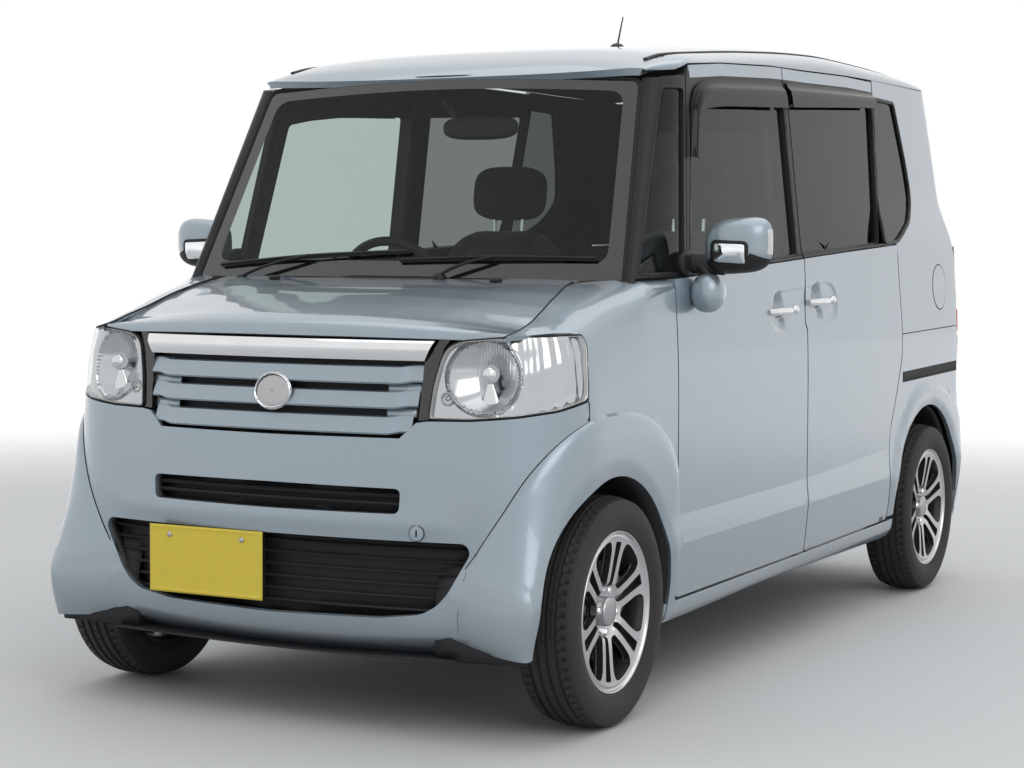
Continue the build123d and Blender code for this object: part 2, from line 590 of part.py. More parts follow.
# ---------------------------------------------------------------- outside fittings
mirror_shell = prism_x([(-842, 1100), (-835, 1205), (-800, 1224), (-742, 1216), (-728, 1190), (-728, 1104),
                        (-760, 1088),
                        (-815, 1086)], 738, 908)
foot = joined(prism_y([(690, 1076), (745, 1078), (760, 1100), (760, 1150), (738, 1150), (682, 1130)], -800,
                      -762))
dome = prism_x([(-812, 1000), (-800, 1086), (-745, 1086), (-740, 1010), (-775, 985)], 706, 790)
door_out = prism_x([(-915, 265), (25, 275), (25, 1660), (-439, 1640), (-650, 1620), (-915, 1078)], 600, FAR)
skin = joined(common(joined(L0, U0), door_out))
mirror_left = cut(joined(mirror_shell, foot, dome), skin)
keep("mirror_left", mirror_left)
keep("mirror_right", flip(mirror_left))


VISOR_F = [(-715, 1373), (-690, 1373), (-640, 1500), (-560, 1520), (-8, 1551), (13, 1560), (13, 1620),
           (-600, 1600),
           (-656, 1590), (-672, 1560)]
VISOR_R = [(50, 1556), (829, 1602), (829, 1646), (50, 1628)]
VISOR_SHELL = cut(upper_hull(-15, False), upper_hull(-SEAT_GAP, False))
visor = common(VISOR_SHELL, prism_x(VISOR_F, 500, FAR))
keep("visor_left", visor)
keep("visor_right", flip(visor))
keep("rear_visors", both(common(VISOR_SHELL, prism_x(VISOR_R, 500, FAR))))
WS_S, WS_C = sin(radians(WS_LEAN)), cos(radians(WS_LEAN))


def on_glass(x, up, out):
    """Point up mm up the windshield from its foot and out mm ahead of it."""
    sag = 71 * (x / 800) ** 2
    return (x, -1125 - 1 / WS_C + up * WS_S + (sag - out) * WS_C, 1069 + up * WS_C - (sag - out) * WS_S)


blades = []
for x0, x1, px in ((-520, -60, -500), (10, 520, 30)):
    mid = (x0 + x1) / 2
    blades += [rod(on_glass(x0, 34, 12), on_glass(mid, 34, 12), 6),
               rod(on_glass(mid, 34, 12), on_glass(x1, 36, 12), 6),
               rod(on_glass(px, 4, 14), on_glass(mid, 34, 12), 5),
               rod((px, on_glass(px, 4, 14)[1], 1030.3), on_glass(px, 4, 14), 7)]
keep("wipers", joined(*blades))
keep("antenna", joined(cut(rod((0, 262, 1740), (0, 262, 1784), 16), U0),
                       rod((0, 262, 1780), (0, 302, 1868), 3)))
keep("front_plate", joined(block(-345, -15, -1704, -1700, 405, 570),
                           cut(block(-300, -60, -1701, -1640, 484, 530), lower_hull(-SEAT_GAP))))
keep("rear_plate", cut(block(-165, 165, 1640, 1652, 760, 925), lower_hull(-SEAT_GAP)))
keep("rear_wiper", cut(joined(rod((0, 1600, 1150), (0, 1655, 1150), 14),
                              rod((0, 1648, 1150), (-200, 1636, 1200), 6)),
                       lower_hull(-SEAT_GAP), block(-100, 100, 1500, 1612, 1100, 1200)))

for name, shape in PARTS.items():
    export_step(shape, "parts/" + name + ".step")
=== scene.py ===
"""Kei car: the visible surfaces, trim and finishes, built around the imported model.

Lengths in the formulas are millimetres in the car's own frame (+X its left, -Y its front, +Z up, floor at 0);
a mesh is scaled to metres when it is written.
"""

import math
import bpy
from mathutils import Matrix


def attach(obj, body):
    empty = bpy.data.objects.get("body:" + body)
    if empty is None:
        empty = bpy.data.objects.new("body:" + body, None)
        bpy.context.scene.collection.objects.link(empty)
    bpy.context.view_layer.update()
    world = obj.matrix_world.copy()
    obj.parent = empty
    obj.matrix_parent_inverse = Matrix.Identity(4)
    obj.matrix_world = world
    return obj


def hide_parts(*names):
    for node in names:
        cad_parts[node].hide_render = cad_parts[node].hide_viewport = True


bl_info = {
    "name": "Kei Car Builder",
    "version": (1, 0, 0),
    "blender": (4, 5, 0),
    "location": "View3D > Sidebar > Kei Car",
    "description": "Builds the body, glass, lamps, wheels and cabin of a small tall wagon",
    "category": "Add Mesh",
}

import bpy
import numpy as np
from mathutils import Matrix, Vector
from mathutils.geometry import delaunay_2d_cdt

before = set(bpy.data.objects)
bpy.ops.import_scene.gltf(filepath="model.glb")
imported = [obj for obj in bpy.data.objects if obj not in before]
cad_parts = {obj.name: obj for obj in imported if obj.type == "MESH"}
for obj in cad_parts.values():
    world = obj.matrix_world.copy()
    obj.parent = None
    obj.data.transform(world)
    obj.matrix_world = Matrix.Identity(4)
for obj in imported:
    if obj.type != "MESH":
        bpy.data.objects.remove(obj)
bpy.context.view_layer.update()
MM = 0.001
WHEELS = {"front_left": (652.5, -1274.0, 1), "front_right": (-652.5, -1274.0, -1),
          "rear_left": (652.5, 1246.0, 1), "rear_right": (-652.5, 1246.0, -1)}
HUB_Z = 278.5


# ------------------------------------------------------------------ curves and surfaces
def smooth(table):
    """Monotone cubic through (position, value) rows: each slope is the harmonic mean of the two beside it."""
    x, y = np.array(table, float).T
    h = np.diff(x)
    d = np.diff(y) / h
    m = np.concatenate([[d[0]], np.where(d[:-1] * d[1:] > 0, 2 * d[:-1] * d[1:] /
                                         np.where(d[:-1] + d[1:] == 0, 1, d[:-1] + d[1:]), 0.0), [d[-1]]])

    def value(q):
        q = np.clip(np.asarray(q, float), x[0], x[-1])
        i = np.clip(np.searchsorted(x, q) - 1, 0, len(h) - 1)
        t = (q - x[i]) / h[i]
        return ((1 + 2 * t) * (1 - t) ** 2 * y[i] + t * (1 - t) ** 2 * h[i] * m[i]
                + t * t * (3 - 2 * t) * y[i + 1] + t * t * (t - 1) * h[i] * m[i + 1])
    return value


def strip_faces(rows, n):
    """The quads between neighbouring rows of n points each."""
    return [(r * n + k, r * n + k + 1, (r + 1) * n + k + 1, (r + 1) * n + k) for r in range(rows - 1)
            for k in range(n - 1)]


def linear(table):
    """Straight lines through (position, value) rows."""
    x, y = np.array(table, float).T
    return lambda q: np.interp(q, x, y)


def step(value, low, high):
    """0 below low, 1 above high, and the cubic 3t2 - 2t3 between."""
    t = np.clip((np.asarray(value, float) - low) / (high - low), 0, 1)
    return t * t * (3 - 2 * t)


def inside(points, outline):
    """Whether each point lies in the closed outline, by counting crossings of a ray."""
    p, q = np.asarray(points, float), np.asarray(outline, float)
    r = np.roll(q, -1, 0)
    px, py = p[:, 0, None], p[:, 1, None]
    rise = np.where(r[:, 1] == q[:, 1], 1e-12, r[:, 1] - q[:, 1])
    cross = ((q[:, 1] > py) != (r[:, 1] > py)) & (px < (r[:, 0] - q[:, 0]) * (py - q[:, 1]) / rise + q[:, 0])
    return cross.sum(1) % 2 == 1


def distance(points, line, closed=True):
    """Least distance from each point to the outline's sides."""
    p, q = np.asarray(points, float), np.asarray(line, float)
    a, b = (q, np.roll(q, -1, 0)) if closed else (q[:-1], q[1:])
    ab = b - a
    t = np.clip(((p[:, None] - a) * ab).sum(2) / np.maximum((ab * ab).sum(1), 1e-9), 0, 1)
    return np.linalg.norm(p[:, None] - (a + t[..., None] * ab), axis=2).min(1)


def rounded(outline, radius, count=5):
    """The closed outline with each corner replaced by a quadratic arc that starts and ends radius from it."""
    q = np.asarray(outline, float)
    radii = np.broadcast_to(np.asarray(radius, float), (len(q),))
    before, after = np.roll(q, 1, 0) - q, np.roll(q, -1, 0) - q
    lb, la = np.linalg.norm(before, axis=1), np.linalg.norm(after, axis=1)
    rb, ra = np.minimum(radii, lb * 0.48), np.minimum(radii, la * 0.48)
    t = np.linspace(0, 1, count)[None, :, None]
    p0, p2 = q + before * (rb / lb)[:, None], q + after * (ra / la)[:, None]
    arcs = (1 - t) ** 2 * p0[:, None] + 2 * t * (1 - t) * q[:, None] + t * t * p2[:, None]
    arcs = arcs.reshape(-1, 2)
    keep = np.linalg.norm(arcs - np.roll(arcs, 1, 0), axis=1) > 0.4
    return arcs[keep]


def divided(line, size, closed=True):
    """The line with no side longer than size."""
    q = np.asarray(line, float)
    r = np.roll(q, -1, 0) if closed else q[1:]
    out = []
    for a, b in zip(q, r):
        n = max(1, int(np.ceil(np.linalg.norm(b - a) / size)))
        out.append(a + (b - a) * np.arange(n)[:, None] / n)
    if not closed:
        out.append(q[-1:])
    return np.concatenate(out)


def shrunk(outline, amount):
    """The closed outline moved inward by amount along the mean normals of its corners (outward when
    negative)."""
    q = np.asarray(outline, float)
    area = 0.5 * (q[:, 0] * np.roll(q[:, 1], -1) - np.roll(q[:, 0], -1) * q[:, 1]).sum()
    e = np.roll(q, -1, 0) - q
    n = np.stack([-e[:, 1], e[:, 0]], 1) / np.maximum(np.linalg.norm(e, axis=1),
                                                      1e-9)[:, None] * np.sign(area)
    m = n + np.roll(n, 1, 0)
    m /= np.maximum((m * n).sum(1), 0.35 * np.linalg.norm(m, axis=1))[:, None]
    return q + m * amount


def smooth_path(points, count):
    """Catmull-Rom curve through the points."""
    p = np.asarray(points, float)
    p = np.concatenate([2 * p[:1] - p[1:2], p, 2 * p[-1:] - p[-2:-1]])
    out = []
    for i in range(1, len(p) - 2):
        t = np.linspace(0, 1, count, endpoint=i == len(p) - 3)[:, None]
        a, b, c, d = p[i - 1:i + 3]
        out.append(0.5 * (2 * b + (c - a) * t + (2 * a - 5 * b + 4 * c - d) * t ** 2
                          + (3 * b - a - 3 * c + d) * t ** 3))
    return np.concatenate(out)


def beside(line, amount):
    """The open line moved sideways by amount, to the right of its direction."""
    q = np.asarray(line, float)
    t = np.gradient(q, axis=0)
    return q + np.stack([t[:, 1], -t[:, 0]], 1) / np.maximum(np.linalg.norm(t, axis=1),
                                                             1e-9)[:, None] * amount


def trimmed(outline, place, size, holes=(), creases=(), dense=()):
    """A patch of the surface place(a, b): triangles on a grid of the two parameters, cut to the outline and
    holes. creases are open lines in the parameters that stay edges of the mesh; dense lists boxes with a
    finer grid."""
    rim = divided(outline, size)
    loops = [rim] + [divided(h, size) for h in holes]
    lines = [divided(c, size, False) for c in creases]
    lo, hi = rim.min(0), rim.max(0)
    a, b = np.meshgrid(np.arange(lo[0] + size / 2, hi[0], size), np.arange(lo[1] + size / 2, hi[1], size))
    grid = np.stack([a.ravel(), b.ravel()], 1)
    for a0, a1, b0, b1, fine in dense:
        out = (grid[:, 0] < a0) | (grid[:, 0] > a1) | (grid[:, 1] < b0) | (grid[:, 1] > b1)
        a, b = np.meshgrid(np.arange(a0, a1, fine), np.arange(b0, b1, fine))
        grid = np.concatenate([grid[out], np.stack([a.ravel(), b.ravel()], 1)])
    grid = grid[inside(grid, rim)]
    for loop in loops:
        grid = grid[distance(grid, loop) > size * (0.3 if dense else 0.45)]
    for loop in loops[1:]:
        grid = grid[~inside(grid, loop)]
    for line in lines:
        grid = grid[distance(grid, line, False) > size * 0.45]
    points, edges = [], []
    for loop, closed in [(x, True) for x in loops] + [(x, False) for x in lines]:
        n0 = sum(map(len, points))
        k = np.arange(len(loop))
        pair = np.stack([k, (k + 1) % len(loop)], 1)[:len(loop) if closed else -1]
        edges += (pair + n0).tolist()
        points.append(loop)
    points = np.concatenate(points + [grid])
    got = delaunay_2d_cdt([Vector(p) for p in points.tolist()], edges, [], 0, 1e-4)
    flat = np.array([(v.x, v.y) for v in got[0]])
    faces = np.array([list(f) for f in got[2]])
    middle = flat[faces].mean(1)
    good = inside(middle, rim)
    for loop in loops[1:]:
        good &= ~inside(middle, loop)
    faces = faces[good]
    used, faces = np.unique(faces, return_inverse=True)
    flat, faces = flat[used], faces.reshape(-1, 3)
    x, y, z = place(flat[:, 0], flat[:, 1])
    return np.stack(np.broadcast_arrays(x, y, z), 1).astype(float), [tuple(f) for f in faces.tolist()]


def grid(nu, nv, place, u=(0, 1), v=(0, 1), close_u=False, close_v=False):
    """A patch of the surface place(u, v) as a regular grid of four-sided faces."""
    us = np.linspace(*u, nu, endpoint=not close_u)
    vs = np.linspace(*v, nv, endpoint=not close_v)
    a, b = np.meshgrid(us, vs, indexing="ij")
    x, y, z = place(a, b)
    points = np.stack(np.broadcast_arrays(x, y, z), -1).reshape(-1, 3).astype(float)
    i, j = np.meshgrid(np.arange(nu if close_u else nu - 1), np.arange(nv if close_v else nv - 1),
                       indexing="ij")
    i2, j2 = (i + 1) % nu, (j + 1) % nv
    faces = np.stack([i * nv + j, i2 * nv + j, i2 * nv + j2, i * nv + j2], -1).reshape(-1, 4)
    return points, [tuple(f) for f in faces.tolist()]


def lathe(profile, count, centre, side=1):
    """(offset along X, radius) profile carried once round the X axis through centre."""
    q = np.asarray(profile, float)
    t = np.linspace(0, 2 * np.pi, count, endpoint=False)
    x = centre[0] + side * np.repeat(q[:, 0][:, None], count, 1)
    y = centre[1] + q[:, 1][:, None] * np.cos(t)
    z = centre[2] + q[:, 1][:, None] * np.sin(t)
    points = np.stack([x, y, z], -1).reshape(-1, 3)
    n = len(q)
    i, j = np.meshgrid(np.arange(n - 1), np.arange(count), indexing="ij")
    j2 = (j + 1) % count
    faces = np.stack([i * count + j, i * count + j2, (i + 1) * count + j2, (i + 1) * count + j],
                     -1).reshape(-1, 4)
    return points, [tuple(f) for f in faces.tolist()]


def swept(path, radius, sides=10, flat=1.0, up=(0, 0, 1), ends=True):
    """A closed tube along the path: at each point a ring of the given radius across the path, squeezed by
    flat."""
    p = np.asarray(path, float)
    r = np.broadcast_to(np.asarray(radius, float), (len(p),))
    t = np.gradient(p, axis=0)
    t /= np.linalg.norm(t, axis=1)[:, None]
    n = np.cross(t, np.asarray(up, float))
    n /= np.maximum(np.linalg.norm(n, axis=1), 1e-9)[:, None]
    b = np.cross(n, t)
    a = np.linspace(0, 2 * np.pi, sides, endpoint=False)
    points = p[:, None] + r[:, None, None] * (np.cos(a)[None, :, None] * n[:, None]
                                              + flat * np.sin(a)[None, :, None] * b[:, None])
    points = points.reshape(-1, 3)
    i, j = np.meshgrid(np.arange(len(p) - 1), np.arange(sides), indexing="ij")
    j2 = (j + 1) % sides
    faces = [tuple(f) for f in np.stack([i * sides + j, i * sides + j2, (i + 1) * sides + j2,
                                         (i + 1) * sides + j], -1)
             .reshape(-1, 4).tolist()]
    if ends:
        last = (len(p) - 1) * sides
        faces += [tuple(range(sides))[::-1], tuple(range(last, last + sides))]
    return points, faces


def mirrored(patch):
    """The patch on the other side of the car, its faces turned to point outwards again."""
    points, faces = patch
    return points * (-1, 1, 1), [f[::-1] for f in faces]


def together(*patches):
    """Several patches as one mesh."""
    points, faces, start = [], [], 0
    for p, f in patches:
        points.append(p)
        faces += [tuple(i + start for i in face) for face in f]
        start += len(p)
    return np.concatenate(points), faces


def facing(patch, away_from):
    """The patch with its faces turned away from a point."""
    points, faces = patch
    tri = np.array([f[:3] for f in faces])
    a, b, c = points[tri[:, 0]], points[tri[:, 1]], points[tri[:, 2]]
    n = np.cross(b - a, c - a)
    if (n * (a - np.asarray(away_from, float))).sum() < 0:
        faces = [f[::-1] for f in faces]
    return points, faces


def box_patch(x0, x1, y0, y1, z0, z1):
    """A closed box as six faces that point outwards."""
    x, y, z = np.meshgrid((x0, x1), (y0, y1), (z0, z1), indexing="ij")
    p = np.stack([x.ravel(), y.ravel(), z.ravel()], 1).astype(float)
    return p, [(0, 1, 3, 2), (4, 6, 7, 5), (0, 4, 5, 1), (2, 3, 7, 6), (0, 2, 6, 4), (1, 5, 7, 3)]


def piece(name, patch, body, materials, slot=None, wall=0.0, inner=None, rim=None, bevel=0.0, merge=0.0,
          sharp=34,
          replaces=(), subdivide=0, offset=-1.0, segments=2, line=None):
    """One finished object at the origin. wall gives a sheet its thickness inward, with its own inner finish;
    bevel rounds edges sharper than 50 degrees, and edges sharper than sharp degrees shade hard."""
    points, faces = patch
    mesh = bpy.data.meshes.new(name)
    mesh.from_pydata([], [], [])
    mesh.clear_geometry()
    mesh.from_pydata((np.asarray(points) * MM).tolist(), [], faces)
    mesh.update()
    mesh.validate()
    obj = bpy.data.objects.new(name, mesh)
    bpy.context.scene.collection.objects.link(obj)
    for m in (materials if isinstance(materials, (list, tuple)) else [materials]):
        mesh.materials.append(m)
    if merge:
        w = obj.modifiers.new("join", "WELD")
        w.merge_threshold = merge * MM
    if subdivide:
        s = obj.modifiers.new("smooth", "SUBSURF")
        s.levels = s.render_levels = subdivide
    if wall:
        s = obj.modifiers.new("wall", "SOLIDIFY")
        s.thickness, s.offset, s.use_even_offset, s.use_rim = wall * MM, offset, False, True
        if inner:
            mesh.materials.append(inner)
            s.material_offset = len(mesh.materials) - 1
        if rim:
            mesh.materials.append(rim)
            s.material_offset_rim = len(mesh.materials) - 1
    if bevel:
        b = obj.modifiers.new("edge", "BEVEL")
        b.width, b.segments, b.limit_method, b.angle_limit = bevel * MM, segments, "ANGLE", math.radians(50)
        b.use_clamp_overlap = True
        b.miter_outer = "MITER_ARC"
        b.harden_normals = True
    mesh.shade_smooth()
    mesh.set_sharp_from_angle(angle=math.radians(sharp))
    if line:
        on = line(np.asarray(points))
        ends = np.empty(len(mesh.edges) * 2, int)
        mesh.edges.foreach_get("vertices", ends)
        flags = mesh.attributes.get("sharp_edge") or mesh.attributes.new("sharp_edge", "BOOLEAN", "EDGE")
        flags.data.foreach_set("value", on[ends.reshape(-1, 2)].all(1))
    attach(obj, body)
    if replaces:
        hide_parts(*replaces)
    return obj


# ------------------------------------------------------------------ shader maths
class Wire:
    """A socket, or a number, that can be used in Python sums: each operator adds one Math node."""

    def __init__(self, tree, socket):
        self.tree, self.socket = tree, socket

    def _math(self, operation, *values):
        return self.tree.node("ShaderNodeMath", {"operation": operation}, dict(enumerate(values)))

    def __add__(self, o): return self._math("ADD", self, o)
    def __radd__(self, o): return self._math("ADD", o, self)
    def __sub__(self, o): return self._math("SUBTRACT", self, o)
    def __rsub__(self, o): return self._math("SUBTRACT", o, self)
    def __mul__(self, o): return self._math("MULTIPLY", self, o)
    def __rmul__(self, o): return self._math("MULTIPLY", o, self)
    def __truediv__(self, o): return self._math("DIVIDE", self, o)
    def __rtruediv__(self, o): return self._math("DIVIDE", o, self)
    def __pow__(self, o): return self._math("POWER", self, o)
    def __gt__(self, o): return self._math("GREATER_THAN", self, o)
    def __lt__(self, o): return self._math("LESS_THAN", self, o)

    def wave(self): return self._math("SINE", self)
    def size(self): return self._math("ABSOLUTE", self)

    def clamp(self, low=0.0, high=1.0):
        return self.tree.node("ShaderNodeClamp", {}, {"Value": self, "Min": low, "Max": high})

    def ramp(self, low, high):
        """0 below low, 1 above high, smooth between."""
        return self.tree.node("ShaderNodeMapRange", {"interpolation_type": "SMOOTHSTEP"},
                              {"Value": self, "From Min": low, "From Max": high})


class Finish:
    """A material that ends in one Principled surface; node() adds any other node."""

    def __init__(self, name, **sockets):
        self.material = bpy.data.materials.new(name)
        self.material.use_nodes = True
        self.tree = self.material.node_tree
        self.tree.nodes.clear()
        self.out = self.tree.nodes.new("ShaderNodeOutputMaterial")
        self.shader = self.tree.nodes.new("ShaderNodeBsdfPrincipled")
        self.tree.links.new(self.shader.outputs[0], self.out.inputs[0])
        self.set(**sockets)

    def link(self, socket, value):
        if isinstance(value, Wire):
            self.tree.links.new(value.socket, socket)
        elif hasattr(socket.default_value, "__len__"):
            v = tuple(value)
            socket.default_value = v + (1.0,) if len(v) == 3 and len(socket.default_value) == 4 else v
        else:
            socket.default_value = value

    def set(self, **sockets):
        for name, value in sockets.items():
            self.link(self.shader.inputs[name.replace("_", " ")], value)
        return self

    def node(self, kind, settings, inputs, output=0):
        n = self.tree.nodes.new(kind)
        for key, value in settings.items():
            if key == "stops":
                for stop, (at, colour) in zip(n.color_ramp.elements, value):
                    stop.position, stop.color = at, (*colour, 1)
            else:
                setattr(n, key, value)
        for key, value in inputs.items():
            self.link(n.inputs[key], value)
        return Wire(self, n.outputs[output])

    def place(self, scale=(1, 1, 1), turn=(0, 0, 0)):
        """Object coordinates, turned and scaled, so a pattern keeps its size on every piece."""
        return self.node("ShaderNodeMapping", {},
                         {"Vector": self.node("ShaderNodeTexCoord", {}, {}, "Object"),
                                                   "Scale": scale, "Rotation": turn})

    def axes(self, vector=None):
        """The three coordinates as separate wires."""
        v = vector or self.place()
        n = self.tree.nodes.new("ShaderNodeSeparateXYZ")
        self.link(n.inputs[0], v)
        return [Wire(self, n.outputs[i]) for i in range(3)]

    def noise(self, scale, detail=2.0, rough=0.5, stretch=(1, 1, 1)):
        return self.node("ShaderNodeTexNoise", {},
                         {"Vector": self.place(stretch), "Scale": scale, "Detail": detail,
                                                    "Roughness": rough})

    def cells(self, scale, output="Distance", stretch=(1, 1, 1)):
        return self.node("ShaderNodeTexVoronoi", {}, {"Vector": self.place(stretch), "Scale": scale}, output)

    def mix(self, factor, a, b):
        """Colours a to b by the factor."""
        n = self.tree.nodes.new("ShaderNodeMix")
        n.data_type = "RGBA"
        for key, value in ((0, factor), (6, a), (7, b)):
            self.link(n.inputs[key], value)
        return Wire(self, n.outputs[2])

    def bump(self, height, strength=0.3, depth=0.001):
        self.set(Normal=self.node("ShaderNodeBump", {},
                                  {"Height": height, "Strength": strength, "Distance": depth}))
        return self

    def see_through(self, tint, gloss=0.0):
        """Clear sheet: what lies behind it shows through in the tint, with a mirror reflection that grows
        towards the edges."""
        clear = self.node("ShaderNodeBsdfTransparent", {}, {"Color": tint})
        shine = self.node("ShaderNodeBsdfGlossy", {}, {"Color": (1, 1, 1), "Roughness": gloss})
        edge = self.node("ShaderNodeLayerWeight", {}, {"Blend": 0.5}, "Facing") ** 5.0 * 0.7 + 0.022
        both_ = self.node("ShaderNodeMixShader", {}, {0: edge, 1: clear, 2: shine})
        self.tree.nodes.remove(self.shader)
        self.tree.links.new(both_.socket, self.out.inputs[0])
        return self.material


def paint(name, colour, dark):
    """Metallic paint: a fine sparkle in colour and normal under a clear coat, and a little dust low on the
    body."""
    f = Finish(name, Metallic=0.55, Coat_Weight=1.0, Coat_Roughness=0.03, Coat_IOR=1.5)
    flake = f.cells(2600.0, "Color")
    r, _, _ = f.axes(flake)
    cloud = f.noise(1.7, 3)
    z = f.axes()[2]
    dust = (1 - z.ramp(0.18, 0.52)) * (f.noise(26.0, 5) * 0.7 + 0.3) * 0.16
    base = f.mix(r * 0.34 + cloud * 0.2, colour, dark)
    f.set(Base_Color=f.mix(dust, base, (0.33, 0.32, 0.30)), Roughness=0.33 + r * 0.06 + dust * 0.9)
    return f.bump(r, 0.035, 0.0006).material


def plastic(name, colour, rough, grain=900.0, strength=0.25, depth=0.0004, coat=0.0):
    """Moulded plastic: a fine leathery grain in the normal and slow change in colour and shine."""
    f = Finish(name, Coat_Weight=coat, Coat_Roughness=0.04, Specular_IOR_Level=0.28)
    cloud = f.noise(9.0, 3)
    grainy = f.cells(grain) * 0.7 + f.noise(grain * 0.6, 2) * 0.5
    light = tuple(min(1, c * 1.25 + 0.004) for c in colour)
    f.set(Base_Color=f.mix(cloud, colour, light), Roughness=rough - 0.06 + cloud * 0.12)
    return f.bump(grainy, strength, depth).material


def bare_metal(name, colour, rough, scratch=0.12, metallic=1.0, stretch=(1, 1, 1)):
    """Metal with fine scratches that run along one axis and cloudy changes in shine."""
    f = Finish(name, Metallic=metallic)
    streak = f.noise(420.0, 3, 0.6, stretch)
    cloud = f.noise(14.0, 4)
    f.set(Base_Color=f.mix(cloud * 0.6, colour, tuple(c * 0.78 for c in colour)),
          Roughness=rough + (streak - 0.5) * scratch + (cloud - 0.5) * 0.08)
    return f.bump(streak, 0.08, 0.0003).material


def make_finishes(s):
    """Every material, by a plain name."""
    m = {}
    m["paint"] = paint("silver_blue_paint", s.paint, s.paint_dark)
    m["dark_paint"] = plastic("under_paint", (0.05, 0.055, 0.06), 0.55, 300)
    m["gloss_black"] = plastic("gloss_black_trim", (0.012, 0.012, 0.013), 0.16, 1500, 0.02, coat=1.0)
    m["black"] = plastic("black_moulding", (0.014, 0.014, 0.015), 0.42, 1200, 0.2)
    m["grain_black"] = plastic("grained_black", (0.022, 0.022, 0.024), 0.6, 700, 0.5)
    m["rubber"] = plastic("seal_rubber", (0.01, 0.01, 0.01), 0.62, 1600, 0.15)
    m["cabin"] = plastic("cabin_moulding", (0.030, 0.029, 0.028), 0.62, 520, 0.6, 0.0007)
    m["cabin_light"] = plastic("headlining", (0.21, 0.20, 0.18), 0.9, 420, 0.7, 0.0006)
    m["chrome"] = bare_metal("bright_chrome", (0.80, 0.81, 0.82), 0.055, 0.03)
    m["reflector"] = bare_metal("lamp_reflector", (0.60, 0.61, 0.625), 0.13, 0.03)
    m["satin"] = bare_metal("satin_metal", (0.46, 0.46, 0.47), 0.30, 0.16)
    m["steel"] = bare_metal("dull_steel", (0.20, 0.20, 0.205), 0.46, 0.22)
    m["cast"] = bare_metal("cast_alloy", (0.26, 0.26, 0.265), 0.52, 0.25)
    m["exhaust"] = bare_metal("warm_steel", (0.27, 0.25, 0.235), 0.40, 0.25)
    m["glass"] = Finish("clear_green_glass").see_through((0.62, 0.69, 0.66))
    m["privacy"] = Finish("dark_glass").see_through((0.10, 0.105, 0.11))
    m["tinted"] = Finish("tinted_glass").see_through((0.24, 0.25, 0.25))
    m["smoked"] = Finish("smoked_acrylic").see_through((0.07, 0.07, 0.075), 0.02)
    m["lens"] = Finish("clear_lens").see_through((0.93, 0.94, 0.94))
    f = Finish("red_lens", Roughness=0.08, Coat_Weight=1.0, Coat_Roughness=0.02)
    rib = f.axes()[2] * 620.0
    f.set(Base_Color=f.mix(rib.wave() * 0.5 + 0.5, (0.42, 0.008, 0.010), (0.19, 0.004, 0.006)))
    m["red_lens"] = f.bump(rib.wave(), 0.25, 0.0006).material
    f = Finish("amber_lens", Roughness=0.14, Base_Color=(0.72, 0.22, 0.03), Coat_Weight=1.0)
    m["amber"] = f.bump(f.noise(240.0), 0.2, 0.0005).material
    f = Finish("clear_ribbed_lens", Roughness=0.12, Coat_Weight=1.0, Metallic=0.6)
    ribs = (f.axes()[2] * 900.0).wave() * (f.axes()[1] * 700.0).wave()
    f.set(Base_Color=f.mix(ribs * 0.5 + 0.5, (0.72, 0.73, 0.74), (0.46, 0.47, 0.48)))
    m["clear_ribbed"] = f.bump(ribs, 0.3, 0.0006).material
    m["chassis"] = plastic("chassis_paint", (0.018, 0.018, 0.019), 0.5, 500, 0.3)
    m["carpet"] = plastic("carpet", (0.028, 0.027, 0.026), 0.95, 380, 0.9, 0.0012)
    f = Finish("tyre_rubber")
    cloud, fine = f.noise(5.0, 4), f.noise(240.0, 4, 0.7)
    f.set(Base_Color=f.mix(cloud * 0.7 + fine * 0.3, (0.012, 0.012, 0.0115), (0.033, 0.031, 0.029)),
          Roughness=0.62 + fine * 0.2)
    m["tyre"] = f.bump(fine, 0.25, 0.0005).material
    f = Finish("machined_alloy", Metallic=1.0)
    y, z = f.axes()[1:]
    streak = f.noise(900.0, 2)
    f.set(Base_Color=f.mix(f.noise(12.0, 3), (0.62, 0.62, 0.63), (0.50, 0.50, 0.51)),
          Roughness=0.20 + streak * 0.10)
    m["machined"] = f.bump(streak, 0.06, 0.0002).material
    m["pocket"] = plastic("dark_grey_paint", (0.022, 0.022, 0.024), 0.38, 1400, 0.06, coat=0.4)
    f = Finish("seat_cloth", Sheen_Weight=0.35, Sheen_Roughness=0.4)
    x, y, z = f.axes(f.place((1, 1, 1), (0.35, 0, 0)))
    weave = (x * 2400.0).wave() * (z * 2400.0 + y * 1200.0).wave()
    f.set(Base_Color=f.mix(weave * 0.35 + f.noise(7.0, 4) * 0.6, (0.030, 0.029, 0.028),
                           (0.075, 0.071, 0.067)),
          Roughness=0.9 + weave * 0.05)
    m["cloth"] = f.bump(weave, 0.5, 0.0006).material
    f = Finish("number_plate", Roughness=0.34)
    grime = f.noise(30.0, 5)
    f.set(Base_Color=f.mix(grime * 0.35, s.plate, tuple(c * 0.62 for c in s.plate)),
          Roughness=0.30 + grime * 0.15)
    m["plate"] = f.bump(grime, 0.05, 0.0004).material
    f = Finish("frit_black", Roughness=0.12, Coat_Weight=1.0)
    f.set(Base_Color=f.mix(f.noise(40.0), (0.008, 0.008, 0.009), (0.014, 0.014, 0.015)))
    m["frit"] = f.material
    f = Finish("door_mirror_glass", Metallic=1.0)
    f.set(Base_Color=f.mix(f.noise(6.0), (0.86, 0.88, 0.90), (0.80, 0.83, 0.86)), Roughness=0.02)
    m["mirror"] = f.material
    return m


